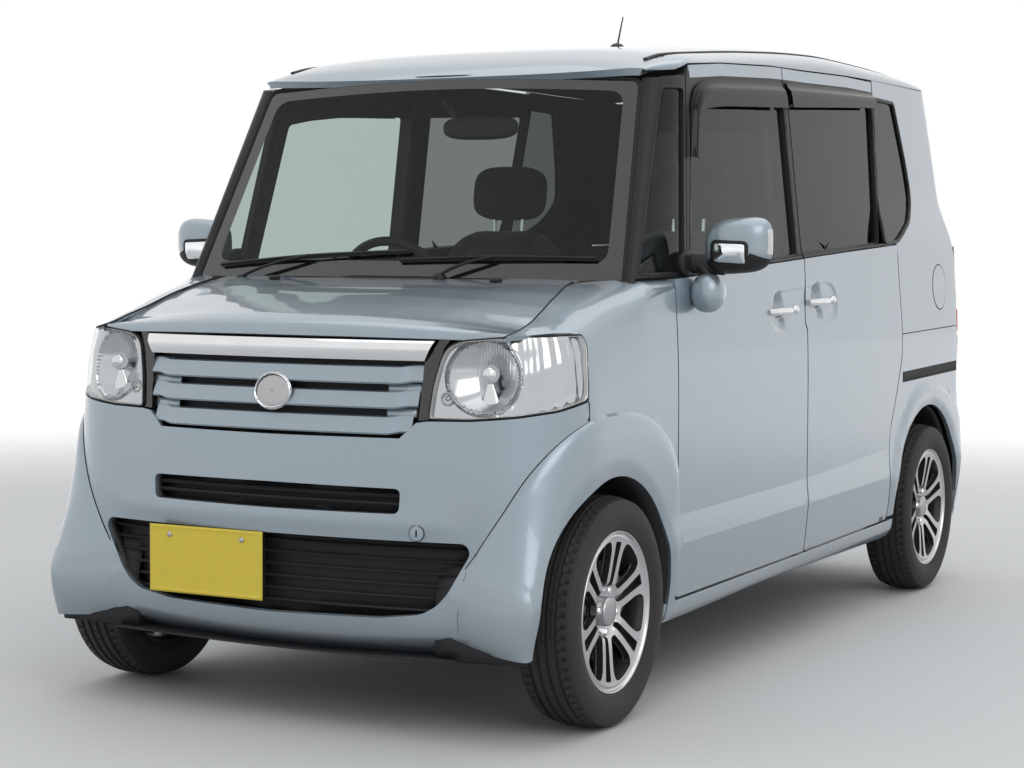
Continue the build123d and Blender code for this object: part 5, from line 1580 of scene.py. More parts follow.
class KEI_OT_mirrors(Build, bpy.types.Operator):
    """Door mirrors: a painted cap over a black housing on a foot, and on the left a small lower mirror in its
    dome"""
    bl_idname = "kei.mirrors"
    bl_label = "Mirrors"

    def make(self, looks, sizes):
        for name, turn in (("left", lambda q: q), ("right", mirrored)):
            body = "door_" + name

            def shell(a, b, out=0.0):
                """Housing: rounded-rectangle sections that close towards the front, open at the back."""
                e = 2.0 / 3.4
                r = np.sin(a) ** (2 / 2.6) + 1e-9
                cb, sb = np.cos(b), np.sin(b)
                px = (89 + out) * r * np.sign(cb) * np.abs(cb) ** e
                pz = (70 + out) * r * np.sign(sb) * np.abs(sb) ** e
                return (824 + px - 3 * np.cos(a), -776 - (56 + out) * np.cos(a) ** (2 / 2.2),
                        1156 + pz + 0.08 * px)
            cap = grid(24, 80, lambda a, b: shell(a, b), (0.01, np.pi / 2), (0, 2 * np.pi), close_v=True)
            low = grid(16, 40, lambda a, b: shell(a, b, 1.6), (0.50, np.pi / 2),
                       (np.pi + 0.42, 2 * np.pi - 0.42))
            at = (824, -760, 1156)
            piece("mirror_cap_" + name, turn(facing(cap, at)), body, FIN["paint"], "body_paint", wall=5,
                  bevel=0.8,
                  replaces=["mirror_" + name])
            piece("mirror_housing_" + name, turn(facing(low, at)), body, FIN["black"], "black_plastic",
                  wall=2, bevel=0.8)

            def front_of(x, z, out):
                """The housing's front as seen from ahead: y from its superellipse, at x and z."""
                px, pz = (x - 824) / 89, (z - 1156 - 0.08 * (x - 824)) / 70
                r = np.clip((np.abs(px) ** 3.4 + np.abs(pz) ** 3.4) ** (1 / 3.4), 0, 0.999)
                c = np.sqrt(np.maximum(1 - r ** 2.6, 0.0))
                return x, -776 - (56 + out) * c ** (2 / 2.2) - 1.5, z
            frame_ = rounded([(762, 1106), (866, 1100), (868, 1166), (764, 1170)], 16)
            for part, out, line, mat, slot_ in (("frame", 2.5, frame_, "black", "black_plastic"),
                                                ("pane", 3.8, shrunk(frame_, 9), "mirror", "lamp_bowl")):
                patch = facing(trimmed(line, lambda x, z, out=out: front_of(x, z, out), 7), (824, -600, 1156))
                piece("mirror_inset_%s_%s" % (part, name), turn(patch), body, FIN[mat], slot_, wall=1.5)
            rim = grid(6, 60, lambda a, b: shell(np.pi / 2 + 0 * a, b, -5 - 6 * a), (0, 1), (0, 2 * np.pi),
                       close_v=True)
            piece("mirror_rim_" + name, turn(facing(rim, (824, -900, 1156))), body, FIN["black"],
                  "black_plastic", wall=4)
            face = grid(14, 60, lambda a, b: tuple(c + (k - c) * a for c,
                                                   k in zip((824, -781, 1156),
                                                            shell(np.pi / 2 + 0 * a, b, -9))),
                        (0.01, 1), (0, 2 * np.pi), close_v=True)
            piece("mirror_glass_" + name, turn(facing(face, (824, -900, 1156))), body, FIN["mirror"],
                  "lamp_bowl", wall=2)
            foot = swept(smooth_path([(686, -806, 1112), (720, -800, 1108), (757, -792, 1106),
                                      (790, -788, 1104)], 8), 25, 18, 0.62, (0, 1, 0))
            piece("mirror_foot_" + name, turn(foot), body, FIN["black"], "black_plastic")
            base = ellipsoid((694, -800, 1108), (14, 58, 34), (3.0, 2.6))
            piece("mirror_base_" + name, turn(base), body, FIN["black"], "black_plastic")
            lens = grid(8, 24, lambda a, b: shell(1.2 + 0.34 * a, -0.26 + 0.55 * b, 1.2), (0, 1), (0, 1))
            piece("mirror_repeater_" + name, turn(facing(lens, at)), body, FIN["clear_ribbed"], "lamp_lens",
                  wall=3)
        dome = ellipsoid((748, -800, 1034), (43, 44, 50), (2.3, 2.3))
        piece("lower_mirror_dome", dome, "door_left", FIN["paint"], "body_paint")
        collar = swept(smooth_path([(745, -799, 1078), (738, -799, 1092), (724, -799, 1102)], 8), 16, 18, 1.0,
                       (0, 1, 0))
        piece("lower_mirror_collar", collar, "door_left", FIN["black"], "black_plastic")
        view = ellipsoid((748, -762, 1034), (34, 9, 38), (2.2, 2.2))
        piece("lower_mirror_glass", view, "door_left", FIN["mirror"], "lamp_bowl")


def visor(path, half):
    """A weather shield: a bowed strip along the path on the cabin's side that stands out towards its lower
    edge."""
    t = np.gradient(path, axis=0)
    n = np.stack([t[:, 1], -t[:, 0]], 1) / np.linalg.norm(t, axis=1)[:, None]
    b = np.linspace(-1, 1, 15)
    y = path[:, :1] + n[:, :1] * half[:, None] * b
    z = path[:, 1:] + n[:, 1:] * half[:, None] * b
    x = upper_half(y, z) + 5 + 15 * step(b, -1.0, 0.1) + 3 * np.exp(-((b + 0.35) / 0.12) ** 2)
    p = np.stack([x, y, z], -1)
    m = len(path)
    faces = [(i * 15 + j, i * 15 + j + 1, (i + 1) * 15 + j + 1, (i + 1) * 15 + j) for i in range(m - 1)
             for j in range(14)]
    return facing((p.reshape(-1, 3), faces), (0, float(path[:, 0].mean()), 1550))


class KEI_OT_trim(Build, bpy.types.Operator):
    """Window visors, wipers, cowl, washer jets and other small outside trim"""
    bl_idname = "kei.trim"
    bl_label = "Outside Trim"

    def make(self, looks, sizes):
        path = smooth_path([(-703, 1384), (-684, 1450), (-650, 1520), (-570, 1556), (-300, 1574), (10, 1588)],
                           10)
        front = visor(path, np.interp(path[:, 0], [-703, -680, -640, -560, 0], [9, 16, 30, 36, 36]))
        for name, turn in (("left", lambda q: q), ("right", mirrored)):
            piece("door_visor_" + name, turn(front), "door_" + name, FIN["smoked"], "smoked_plastic",
                  wall=3.4, bevel=0.8,
                  replaces=["visor_" + name])
        path = smooth_path([(52, 1592), (400, 1606), (832, 1622)], 12)
        two("rear_door_visors", visor(path, np.interp(path[:, 0], [52, 832], [36, 24])), "body",
            FIN["smoked"],
            "smoked_plastic", wall=3.4, bevel=0.8, replaces=["rear_visors"])
        wipers = []
        for x0, x1, pivot in ((-560, 40, -470), (20, 560, 150)):
            x = np.linspace(x0, x1, 40)
            up = 46 + 26 * ((x - x0) / (x1 - x0))
            blade = np.stack(windshield(x, up, 7), 1)
            spine = np.stack(windshield(x, up, 15 - 5 * np.abs(2 * (x - x0) / (x1 - x0) - 1)), 1)
            ta = np.linspace(0, 1, 20)
            ax_, au = pivot + (0.5 * (x0 + x1) - pivot) * ta, -4 + 62 * ta ** 0.7
            arm = np.stack(windshield(ax_, au, 18 + 5 * np.sin(np.pi * ta)), 1)
            wipers += [swept(blade, 3.2, 6, 2.2), swept(spine, 4.6, 8, 0.8),
                       swept(arm, 6.5 - 1.5 * ta, 8, 0.7)]
            p = np.array([float(v) for v in windshield(np.float64(pivot), np.float64(-6.0), 10)])
            wipers.append(ellipsoid(p, (17, 17, 15), (2.4, 2.4), 12, 20))
        piece("wiper_set", together(*wipers), "body", FIN["black"], "black_plastic", replaces=["wipers"])

        def cowl(a, b):
            x = -632 + 1264 * a
            _, y0, z0 = windshield(x, 10 - 12 * np.cos(x / 1264 * np.pi), -4)
            front = -1137 + 62 * step(np.abs(x), 500, 640) + 36 * (x / 640) ** 2 * 0.5
            return x, front + (y0 - front) * b, 1048 + (z0 - 1048) * b ** 1.3 + 2 * np.sin(b * 14)
        piece("cowl_panel", facing(grid(120, 22, cowl), (0, -1100, 800)), "body", FIN["grain_black"],
              "black_plastic", wall=4)
        jets = [ellipsoid((x, -1168, float(hood_z(np.float64(x), -1160)) + 3), (17, 11, 7), (2.6, 2.6), 10,
                          18) for x in (-330, 330)]
        piece("washer_jets", together(*jets), "hood", FIN["black"], "black_plastic")
        # painted shade: a flat black strip on the quarter stands in for the shade inside the slide door's
        # slot
        two("slide_slot_painted_shade", facing(grid(60, 3, lambda a, b: wrap(930 + 606 * a, 716 + 12 * a + 34 * b, 0.8)),
                                  (0, 1200, 700)), "body",
            FIN["rubber"], "black_plastic", wall=1)
        # painted shade: a 3 mm black line on the quarter stands in for the shade in the seam above the slot
        two("slide_seam_painted_shade", facing(grid(60, 4,
                                             lambda a, b: wrap(926 + 606 * a, 872 + 10 * a + 3.0 * b, 0.7)),
                                             (0, 1200, 700)),
            "body", FIN["rubber"], "black_plastic")


PITCHES = 66          # tread blocks round a tyre
GROOVE = 6.5          # depth of the tread


def tread_depth(u, v):
    """Tread pattern: four grooves round the tyre and slanted cross grooves in the shoulders; u in turns, v
    across."""
    ring = np.zeros(np.broadcast(u, v).shape)
    for c, w in ((-36, 4.0), (-12, 4.5), (12, 4.5), (36, 4.0)):
        ring = np.maximum(ring, 1 - step(np.abs(v - c), w - 1.0, w + 0.4))
    pitch = (u * PITCHES + 0.010 * v) % 1.0
    cross = (1 - step(np.abs(pitch - 0.5), 0.055, 0.085)) * step(np.abs(v), 38, 42)
    sipe = (1 - step(np.abs(((u * PITCHES - 0.016 * v) % 1.0) - 0.2), 0.03, 0.05)) * (np.abs(v) < 32) * 0.6
    return GROOVE * np.maximum(np.maximum(ring, cross), sipe)


class KEI_OT_tyres(Build, bpy.types.Operator):
    """Tyres: a moulded section carried round the hub, with the tread cut in, beads and plain sidewall
    rings"""
    bl_idname = "kei.tyres"
    bl_label = "Tyres"

    def make(self, looks, sizes):
        section = smooth_path([(-58, 190), (-66, 197), (-74, 214), (-77.3, 234), (-74.5, 254), (-67, 269)], 5)
        across = np.concatenate([np.linspace(-62, -40.5, 9), np.linspace(-39.6, -32, 6),
                                 np.linspace(-31, -17, 3), np.linspace(-16, -7.6, 6),
                                 np.linspace(-6.5, 6.5, 4)])
        across = np.unique(np.concatenate([across, -across]))
        crown = np.stack([across, 278.2 - 9.5 * (np.abs(across) / 66) ** 3.2], 1)
        side_ = section.copy()
        side_[:, 1] += np.where((side_[:, 1] > 205) & (side_[:, 1] < 212), 0.9, 0)
        profile = np.concatenate([side_, crown, side_[::-1] * (-1, 1)])
        turns = []
        for k in range(PITCHES):
            turns += [k / PITCHES + f / PITCHES for f in (0.0, 0.14, 0.26, 0.42, 0.58)]
        turns = np.array(turns)
        v, r = profile[:, 0], profile[:, 1]
        for name, (x, y, _) in WHEELS.items():
            uu, vv = np.meshgrid(turns, v, indexing="ij")
            rr = np.broadcast_to(r, uu.shape) - np.where(np.broadcast_to(r, uu.shape) > 266.5,
                                                         tread_depth(uu, vv), 0)
            a = uu * 2 * np.pi
            p = np.stack([x + vv, y + rr * np.cos(a), HUB_Z + rr * np.sin(a)], -1).reshape(-1, 3)
            n, m = uu.shape
            i, j = np.meshgrid(np.arange(n), np.arange(m - 1), indexing="ij")
            i2 = (i + 1) % n
            faces = np.stack([i * m + j, i * m + j + 1, i2 * m + j + 1, i2 * m + j], -1).reshape(-1, 4)
            patch = facing((p, [tuple(f) for f in faces.tolist()]), (x, y, HUB_Z))
            piece("road_tyre_" + name, patch, "road_wheel_" + name, FIN["tyre"], "rubber", sharp=40,
                  replaces=["tyre_" + name])


PAIR_TURN = 21.0      # degrees from straight back to the first spoke pair


def spoke_windows():
    """Openings in the wheel's face, seen along the axle: six wide ones between the pairs and six slots in
    them."""
    wide, slots = [], []
    side_ = smooth([(62, 25.5), (85, 26.5), (115, 28), (140, 30.5), (153, 35), (162, 43), (166, 54)])
    for k in range(6):
        a = math.radians(PAIR_TURN + 60 * k)
        e, n = np.array([math.cos(a), math.sin(a)]), np.array([-math.sin(a), math.cos(a)])
        b = a + math.pi / 3
        e2, n2 = np.array([math.cos(b), math.sin(b)]), np.array([-math.sin(b), math.cos(b)])
        u = np.array([64, 74, 90, 110, 130, 145, 153, 159, 163, 165])
        right = u[:, None] * e + side_(u)[:, None] * n
        left = u[:, None] * e2 - side_(u)[:, None] * n2
        start, end = np.arctan2(right[-1] @ n, right[-1] @ e), math.pi / 3 - np.arctan2(right[-1] @ n,
            right[-1] @ e)
        t = np.linspace(start, end, 7)[1:-1]
        arc = 174.0 * (np.cos(t)[:, None] * e + np.sin(t)[:, None] * n)
        wide.append(rounded(np.concatenate([right, arc, left[::-1]]), 5, 3))
        w = smooth([(60, 8.5), (100, 10), (150, 13.5), (168, 15)])
        u = np.array([60.0, 80, 110, 140, 168])
        slots.append(rounded(np.concatenate([u[:, None] * e + w(u)[:, None] * n,
                                             (u[:, None] * e - w(u)[:, None] * n)[::-1]]), 5, 4))
    return wide, slots


class KEI_OT_wheels(Build, bpy.types.Operator):
    """Alloy wheels: a dished face with six twin spokes cut in it, dark pockets, a stepped lip, nuts, cap and
    brakes"""
    bl_idname = "kei.wheels"
    bl_label = "Wheels"

    def make(self, looks, sizes):
        wide, slots = spoke_windows()
        dish = smooth([(0, 30), (44, 30), (58, 33), (66, 43), (90, 48), (130, 53), (165, 57.5), (176, 59)])
        t = np.linspace(0, 2 * np.pi, 96, endpoint=False)
        disc = np.stack([175.5 * np.cos(t), 175.5 * np.sin(t)], 1)
        edge = [(58.5, 174), (60, 176), (60.2, 179), (58, 181), (57.6, 185), (60, 188.5), (64.5, 191),
                (65.6, 193.4), (64.2, 195.3), (60.5, 195.6), (55, 191)]
        barrel = [(55, 191), (50, 184), (44, 180.5), (-46, 180.5), (-58, 186), (-62, 194), (-65.5, 193.5),
                  (-62, 184), (-54, 178), (-44, 174), (20, 166), (40, 168), (52, 172), (58.5, 174)]
        face0 = trimmed(disc, lambda a, b: (dish(np.hypot(a, b)), a, b), 9.0, wide + slots)
        back0 = trimmed(disc, lambda a, b: (dish(np.hypot(a, b)) - 17, a, b), 16.0, wide)
        for name, (x, y, sgn) in WHEELS.items():
            def put(patch):
                p, f = patch
                q = np.stack([x + sgn * p[:, 0], y + p[:, 1] * sgn, HUB_Z + p[:, 2]], 1)
                return facing((q, f), (x - sgn * 400, y, HUB_Z))
            body = "road_wheel_" + name
            piece("wheel_face_" + name, put(face0), body, FIN["machined"], "alloy", wall=15,
                  inner=FIN["pocket"], rim=FIN["pocket"],
                  bevel=0.9, sharp=30, replaces=["wheel_" + name])
            piece("wheel_pockets_" + name, put(back0), body, FIN["pocket"], "alloy", wall=8, sharp=30)
            lip = lathe(edge, 128, (x, y, HUB_Z), sgn)
            piece("wheel_lip_" + name, facing(lip, (x - sgn * 300, y, HUB_Z)), body, FIN["machined"], "alloy",
                  sharp=25)
            rim = lathe(barrel, 96, (x, y, HUB_Z), sgn)
            piece("wheel_barrel_" + name, rim if sgn > 0 else (rim[0], [f[::-1] for f in rim[1]]), body,
                  FIN["pocket"], "alloy", sharp=30)
            cap = lathe([(30, 36), (46, 35.5), (49, 33), (50.5, 27), (51.6, 15), (52, 0.3)], 48,
                        (x, y, HUB_Z), sgn)
            piece("wheel_cap_" + name, facing(cap, (x - sgn * 100, y, HUB_Z)), body, FIN["satin"], "alloy",
                  sharp=30)
            nuts = []
            for k in range(4):
                a = math.radians(PAIR_TURN + 60 + 90 * k)
                cy, cz = y + sgn * 50 * math.cos(a), HUB_Z + 50 * math.sin(a)
                t6 = np.linspace(0, 2 * np.pi, 6, endpoint=False)
                ring_ = [np.stack([np.full(6, x + sgn * h), cy + r * np.cos(t6), cz + r * np.sin(t6)], 1)
                         for h, r in ((28, 9.5), (43, 9.5), (46, 7.8))]
                faces = [(r * 6 + i, r * 6 + (i + 1) % 6, (r + 1) * 6 + (i + 1) % 6, (r + 1) * 6 + i)
                         for r in range(2) for i in range(6)]
                faces.append(tuple(range(12, 18)))
                nuts.append(facing((np.concatenate(ring_), faces), (x - sgn * 100, cy, cz)))
            piece("wheel_nuts_" + name, together(*nuts), body, FIN["chrome"], "alloy", sharp=20)
            knuckle = "knuckle_" + name.split("_")[1] if name.startswith("front") else "body"
            drum = [(-20, 60), (-20, 108), (-15, 112), (4, 112), (8, 108), (8, 66), (14, 60),
                    (14, 0.5)] if name.startswith("rear") else \
                [(-2, 60), (-2, 118), (1, 121), (8, 121), (11, 118), (11, 68), (20, 62), (22, 56), (22, 0.5)]
            piece("brake_" + name, facing(lathe(drum, 64, (x, y, HUB_Z), sgn), (x - sgn * 60, y, HUB_Z)),
                  body, FIN["steel"], "steel", sharp=30)
            if name.startswith("front"):
                caliper = ellipsoid((x + sgn * 4, y + 92, HUB_Z + 22), (30, 34, 58), (3.2, 2.8))
                piece("caliper_" + name, caliper, knuckle, FIN["cast"], "steel")


class KEI_OT_cabin(Build, bpy.types.Operator):
    """Cabin: seats, dashboard, steering wheel, inner mirror, trims and floor covering"""
    bl_idname = "kei.cabin"
    bl_label = "Cabin"

    def make(self, looks, sizes):
        seats = []
        for x in (-305, 305):
            tag = "right" if x < 0 else "left"
            seats += [("front_cushion_" + tag, (x, -240, 540), (236, 240, 66), 0.05, (118, -118)),
                      ("front_back_" + tag, (x, 52, 900), (222, 66, 310), 0.22, (112, -112)),
                      ("front_headrest_" + tag, (x, 132, 1316), (122, 46, 84), 0.16, ())]
        seats += [("rear_cushion", (0, 780, 560), (540, 240, 60), 0.05, (0,)),
                  ("rear_back", (0, 1062, 880), (548, 62, 300), 0.24, (0,)),
                  ("rear_headrest_left", (262, 1146, 1252), (120, 42, 66), 0.16, ()),
                  ("rear_headrest_right", (-262, 1146, 1252), (120, 42, 66), 0.16, ())]
        first = True
        for name, centre, half, lean, seams in seats:
            obj = cushion(name, centre, half, lean, seams)
            if first:
                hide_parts("front_seats", "rear_seat")
                first = False
        posts = [swept([(x + d, 118, 1180), (x + d, 126, 1280)], 6, 10) for x in (-305, 305)
                 for d in (-48, 48)]
        piece("headrest_posts", together(*posts), "body", FIN["chrome"], "steel")
        bases = [box_patch(x - 205, x + 205, -440, -20, 352, 478)
                 for x in (-305, 305)] + [box_patch(-530, 530, 575, 1010, 366, 500)]
        piece("seat_bases", together(*bases), "body", FIN["cabin"], "cabin_plastic", bevel=14, segments=3)
        dashboard()
        steering_wheel()
        mirror = ellipsoid((83, -792, 1468), (112, 15, 32), (3.6, 3.0))
        stem = swept([(20, -800, 1480), (0, -812, 1520), (0, -842, 1548)], 8, 10)
        piece("inner_mirror_housing", together(mirror, stem), "body", FIN["black"], "black_plastic",
              replaces=["inner_mirror"])
        look = facing(grid(6, 40, lambda a, b: (83 + 100 * a * np.cos(b), -776.5 + 0 * a,
                                                1468 + 26 * a * np.sin(b)), (0.01, 1), (0, 2 * np.pi),
                                                close_v=True), (83, -900, 1468))
        piece("inner_mirror_glass", look, "body", FIN["mirror"], "lamp_bowl", wall=1)
        shades = [facing(grid(30, 14, lambda a, b, x=x: (x - 165 + 330 * a, -800 + 150 * b,
                                                         1588 + 44 * b + 4 * np.sin(b * np.pi))),
                                                         (x, -740, 1900)) for x in (-290, 290)]
        piece("sun_shades", together(*shades), "body", FIN["cabin_light"], "cabin_plastic", wall=12, bevel=4)
        carpet = box_patch(-597, 597, -935, 798, 300.5, 306)
        back = box_patch(-597, 597, 802, 1555, 365.5, 371)
        piece("floor_mats", together(carpet, back), "body", FIN["carpet"], "seat_cloth")
        pillars = []
        for y0, y1 in ((905, 1460),):
            pillars.append(facing(trimmed([(y0, 372), (y1, 372), (y1, 1120), (y0, 1120)],
                                          lambda y, z: (np.full(y.shape, 598.0) - 12 * np.sin(y / 90), y, z),
                                          40), (900, 1200, 700)))
        two("luggage_sides", pillars[0], "body", FIN["cabin"], "cabin_plastic", wall=6)
        knob = [swept(smooth_path([(60, -712, 930), (60, -668, 960), (60, -640, 1000)], 6),
                      [7, 8, 9] + [9] * 9, 12), ellipsoid((60, -636, 1008), (22, 24, 26), (2.6, 2.6), 14, 20)]
        piece("gear_lever", together(*knob), "body", FIN["black"], "black_plastic")


def cushion(name, centre, half, lean, seams):
    """A stuffed form: a superellipsoid block whose faces crown between its seams; the sewn lines are pressed
    in. Cloth under pressure rounds it, with no point moving more than 14 mm."""
    def place(a, b):
        e, f = 2 / 3.6, 2 / 3.6
        c, s = np.cos(a), np.sin(a)
        w = np.sign(c) * np.abs(c) ** f
        r = np.abs(s) ** f
        cb, sb = np.cos(b), np.sin(b)
        return (half[0] * r * np.sign(cb) * np.abs(cb) ** e, half[1] * r * np.sign(sb) * np.abs(sb) ** e,
                half[2] * w)
    p, faces = facing(grid(40, 72, place, (0.004, np.pi - 0.004), (0, 2 * np.pi), close_v=True), (0, 0, 0))
    thin = int(np.argmin(half))
    p = p * 0.985
    for at in seams:
        d = np.abs(p[:, 0] - at)
        p[:, thin] -= np.sign(p[:, thin]) * 7 * np.exp(-(d / 9.0) ** 2)
    wide = [i for i in (0, 1, 2) if i != thin]
    lane = np.abs(p[:, 0]) < (104 if seams and seams[0] else half[0] * 0.8)
    rows = np.abs(np.sin(p[:, wide[1]] / 62.0 * np.pi))
    p[:, thin] += np.where(lane, np.sign(p[:, thin]) * 4.5 * (rows ** 0.5 - 0.6), 0)
    c, s = math.cos(lean), math.sin(lean)
    q = np.stack([p[:, 0], p[:, 1] * c + p[:, 2] * s, p[:, 2] * c - p[:, 1] * s], 1) + centre
    if thin == 2:
        q = np.stack([p[:, 0], p[:, 1] * c, p[:, 2] - p[:, 1] * s], 1) + centre
    obj = piece(name, (q, faces), "body", FIN["cloth"], "seat_cloth", sharp=80)
    puffed(obj)
    return obj


def puffed(obj, cap=14.0):
    """Cloth with inner pressure and no gravity for 12 steps; a point that moved further than cap is held
    back."""
    scene = bpy.context.scene
    before = np.empty(len(obj.data.vertices) * 3)
    obj.data.vertices.foreach_get("co", before)
    cloth = obj.modifiers.new("stuffing", "CLOTH")
    s = cloth.settings
    s.quality, s.mass, s.use_pressure, s.uniform_pressure_force = 4, 0.4, True, 3.0
    s.tension_stiffness = s.compression_stiffness = s.shear_stiffness = 22.0
    s.bending_stiffness = 3.0
    s.effector_weights.gravity = 0.0
    cloth.collision_settings.use_self_collision = False
    cloth.point_cache.frame_start, cloth.point_cache.frame_end = 1, 12
    for k in range(1, 13):
        scene.frame_set(k)
    shape = obj.evaluated_get(bpy.context.evaluated_depsgraph_get()).data
    after = np.empty(len(shape.vertices) * 3)
    shape.vertices.foreach_get("co", after)
    obj.modifiers.remove(cloth)
    scene.frame_set(1)
    move = (after - before).reshape(-1, 3)
    length = np.linalg.norm(move, axis=1)[:, None]
    move *= np.minimum(1, cap * MM / np.maximum(length, 1e-9))
    if not np.isfinite(move).all():
        raise RuntimeError("the cushion's cloth came out with no finite shape")
    obj.data.vertices.foreach_set("co", (before + move.ravel()))
    obj.data.update()


def dashboard():
    """Dashboard: one section carried across, with a hooded binnacle before the driver, vents and a centre
    panel."""
    rows = [(-944, 660), (-820, 668), (-764, 720), (-728, 800), (-706, 880), (-694, 960), (-688, 1004),
            (-700, 1032), (-728, 1047), (-780, 1054), (-860, 1060), (-940, 1058), (-1010, 1050),
            (-1062, 1040)]
    q = smooth_path(rows, 5)

    def place(a, b):
        x = -584 + 1168 * a
        k = b * (len(q) - 1)
        y = np.interp(k, np.arange(len(q)), q[:, 0])
        z = np.interp(k, np.arange(len(q)), q[:, 1])
        hood_ = np.exp(-((x + 305) / 150) ** 4)
        front = step(z, 860, 1010)
        y = y + 44 * hood_ * front * step(-y, 640, 700) * (1 - step(-y, 720, 900)) - 26 * (1
            - step(z, 640, 850)) * (np.abs(x) > 130)
        z = z + 30 * hood_ * step(z, 1000, 1046) * (1 - step(-y, 780, 960))
        shelf_ = 26 * np.exp(-((z - 880) / 34) ** 4) * (x > 90)
        return x, y - shelf_, z
    skin = facing(grid(104, 46, place), (0, -900, 850))
    piece("dashboard_skin", skin, "body", FIN["cabin"], "cabin_plastic", wall=6, replaces=["dashboard"])
    panel = facing(grid(20, 20, lambda a, b: (-105 + 210 * a, -676 - 14 * b + 3 * np.sin(np.pi * a),
                                              800 + 200 * b)), (0, -900, 900))
    piece("centre_panel", panel, "body", FIN["gloss_black"], "cabin_plastic", wall=16, bevel=5)
    screen = facing(grid(4, 4, lambda a, b: (-84 + 168 * a, -663 - 7 * b, 900 + 84 * b)), (0, -900, 900))
    piece("centre_screen", screen, "body", FIN["frit"], "cabin_plastic", wall=3)
    knobs = [lathe_z((x, -664, 842), 19, 16) for x in (-62, 0, 62)]
    vents = []
    for x in (-520, -150, 150, 520):
        vents += [box_patch(x - 52, x + 52, -686, -676, 985 + 9 * k, 988.5 + 9 * k) for k in range(4)]
    piece("climate_knobs", together(*knobs), "body", FIN["satin"], "cabin_plastic")
    piece("air_vents", together(*vents), "body", FIN["black"], "cabin_plastic")
    dials = [lathe_z((-305 + d, -668, 1022), 44, 4) for d in (-62, 62)]
    piece("instrument_dials", together(*dials), "body", FIN["frit"], "cabin_plastic")


def lathe_z(centre, r, h):
    """A short round knob that faces the rear."""
    t = np.linspace(0, 2 * np.pi, 28, endpoint=False)
    rings = [np.stack([centre[0] + k * r * np.cos(t), np.full(28, centre[1] + d),
                       centre[2] + k * r * np.sin(t)], 1)
             for k, d in ((1, -4), (1, h * 0.8), (0.88, h), (0.02, h))]
    faces = [(i * 28 + j, i * 28 + (j + 1) % 28, (i + 1) * 28 + (j + 1) % 28, (i + 1) * 28 + j)
             for i in range(3) for j in range(28)]
    return facing((np.concatenate(rings), faces), (centre[0], centre[1] - 100, centre[2]))


def steering_wheel():
    """Steering wheel: a torus tilted 24 degrees from upright, three spokes and a padded boss."""
    tilt = math.radians(24)
    c = np.array([-305.0, -560.0, 1005.0])
    e1, e2 = np.array([1.0, 0, 0]), np.array([0, -math.sin(tilt), math.cos(tilt)])
    n = np.cross(e1, e2)

    def at(u, v, w=0.0):
        return c + np.multiply.outer(u, e1) + np.multiply.outer(v, e2) + np.multiply.outer(w, n)
    t = np.linspace(0, 2 * np.pi, 81)
    ring_ = swept(at(174 * np.cos(t), 174 * np.sin(t), 0 * t), 13.5, 14, 1.0, tuple(n), ends=False)
    arms = [swept(at(np.array([30, 90, 172]) * math.cos(a), np.array([30, 90, 172]) * math.sin(a),
                     np.array([14, 10, 0.0])), [24, 17, 13], 14, 0.42, tuple(n))
            for a in (0.12, math.pi - 0.12, -math.pi / 2)]
    boss_p, boss_f = ellipsoid((0, 0, 0), (70, 58, 26), (2.8, 2.4))
    boss = (c + boss_p[:, :1] * e1 + boss_p[:, 1:2] * e2 + (boss_p[:, 2:3] + 8) * n, boss_f)
    column = swept([c + n * -10, c + np.array([0, -140, -62])], 30, 20)
    stalks = [swept([c + n * -30 + e1 * 20 * s_, c + n * -34 + e1 * 175 * s_ + e2 * 14], [6, 9], 10)
              for s_ in (-1, 1)]
    piece("steering_wheel_rim", together(ring_, *arms), "body", FIN["grain_black"], "black_plastic",
          replaces=["steering_wheel"])
    piece("steering_wheel_boss", boss, "body", FIN["cabin"], "black_plastic")
    piece("steering_column", together(column, *stalks), "body", FIN["cabin"], "black_plastic")


class KEI_OT_underbody(Build, bpy.types.Operator):
    """Finishes for the structure and running gear that show from below and through openings"""
    bl_idname = "kei.underbody"
    bl_label = "Structure and Running Gear"

    def make(self, looks, sizes):
        plan_ = {"floor_pan": "chassis", "front_body": "chassis",
                 "front_suspension": "chassis", "rear_axle": "chassis",
                 "fuel_tank": "grain_black", "engine": "cast", "exhaust": "exhaust",
                 "drive_shafts": "steel", "knuckle_left": "cast", "knuckle_right": "cast"}
        for node, finish in plan_.items():
            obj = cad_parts[node]
            obj.data.materials.clear()
            obj.data.materials.append(FIN[finish])
        shields = [facing(grid(30, 8, lambda a, b: (-480 + 960 * a, -1660 + 100 * b,
                                                    196 - 8 * np.sin(np.pi * a))), (0, -1600, 900))]
        piece("undertray", shields[0], "body", FIN["grain_black"], "black_plastic", wall=4)
        t = np.linspace(0, 1, 90)
        springs = []
        for sgn in (-1, 1):
            a = t * 2 * np.pi * 6
            base, top = np.array([sgn * 521, -1274, 612.0]), np.array([sgn * 510, -1274, 722.0])
            mid = base + (top - base) * t[:, None]
            springs.append(swept(mid + np.stack([58 * np.cos(a), 58 * np.sin(a), 0 * a], 1), 6, 8))
        for name, s in zip(("right", "left"), springs):
            piece("front_spring_" + name, s, "knuckle_" + name, FIN["chassis"], "steel")
        rear = []
        for sgn in (-1, 1):
            a = t * 2 * np.pi * 6
            mid = np.array([sgn * 430.0, 1080, 292.0]) + np.array([0, 0, 40.0]) * t[:, None]
            rear.append(swept(mid + np.stack([44 * np.cos(a), 44 * np.sin(a), 0 * a], 1), 6, 8))
        piece("rear_springs", together(*rear), "body", FIN["chassis"], "steel")
        tip = swept([(270, 1470, 222), (270, 1560, 222), (270, 1600, 216)], 24, 24, 1.0, (1, 0, 0),
                    ends=False)
        piece("tail_pipe", tip, "body", FIN["exhaust"], "steel", wall=2)


CAMERA_TURNS = (0.505115770991914, 0.060919597799125244, 0.004622873666629915)   # yaw, pitch and roll
EYE = (2.908632, -6.065718, 1.148687)          # where the camera stands, in metres


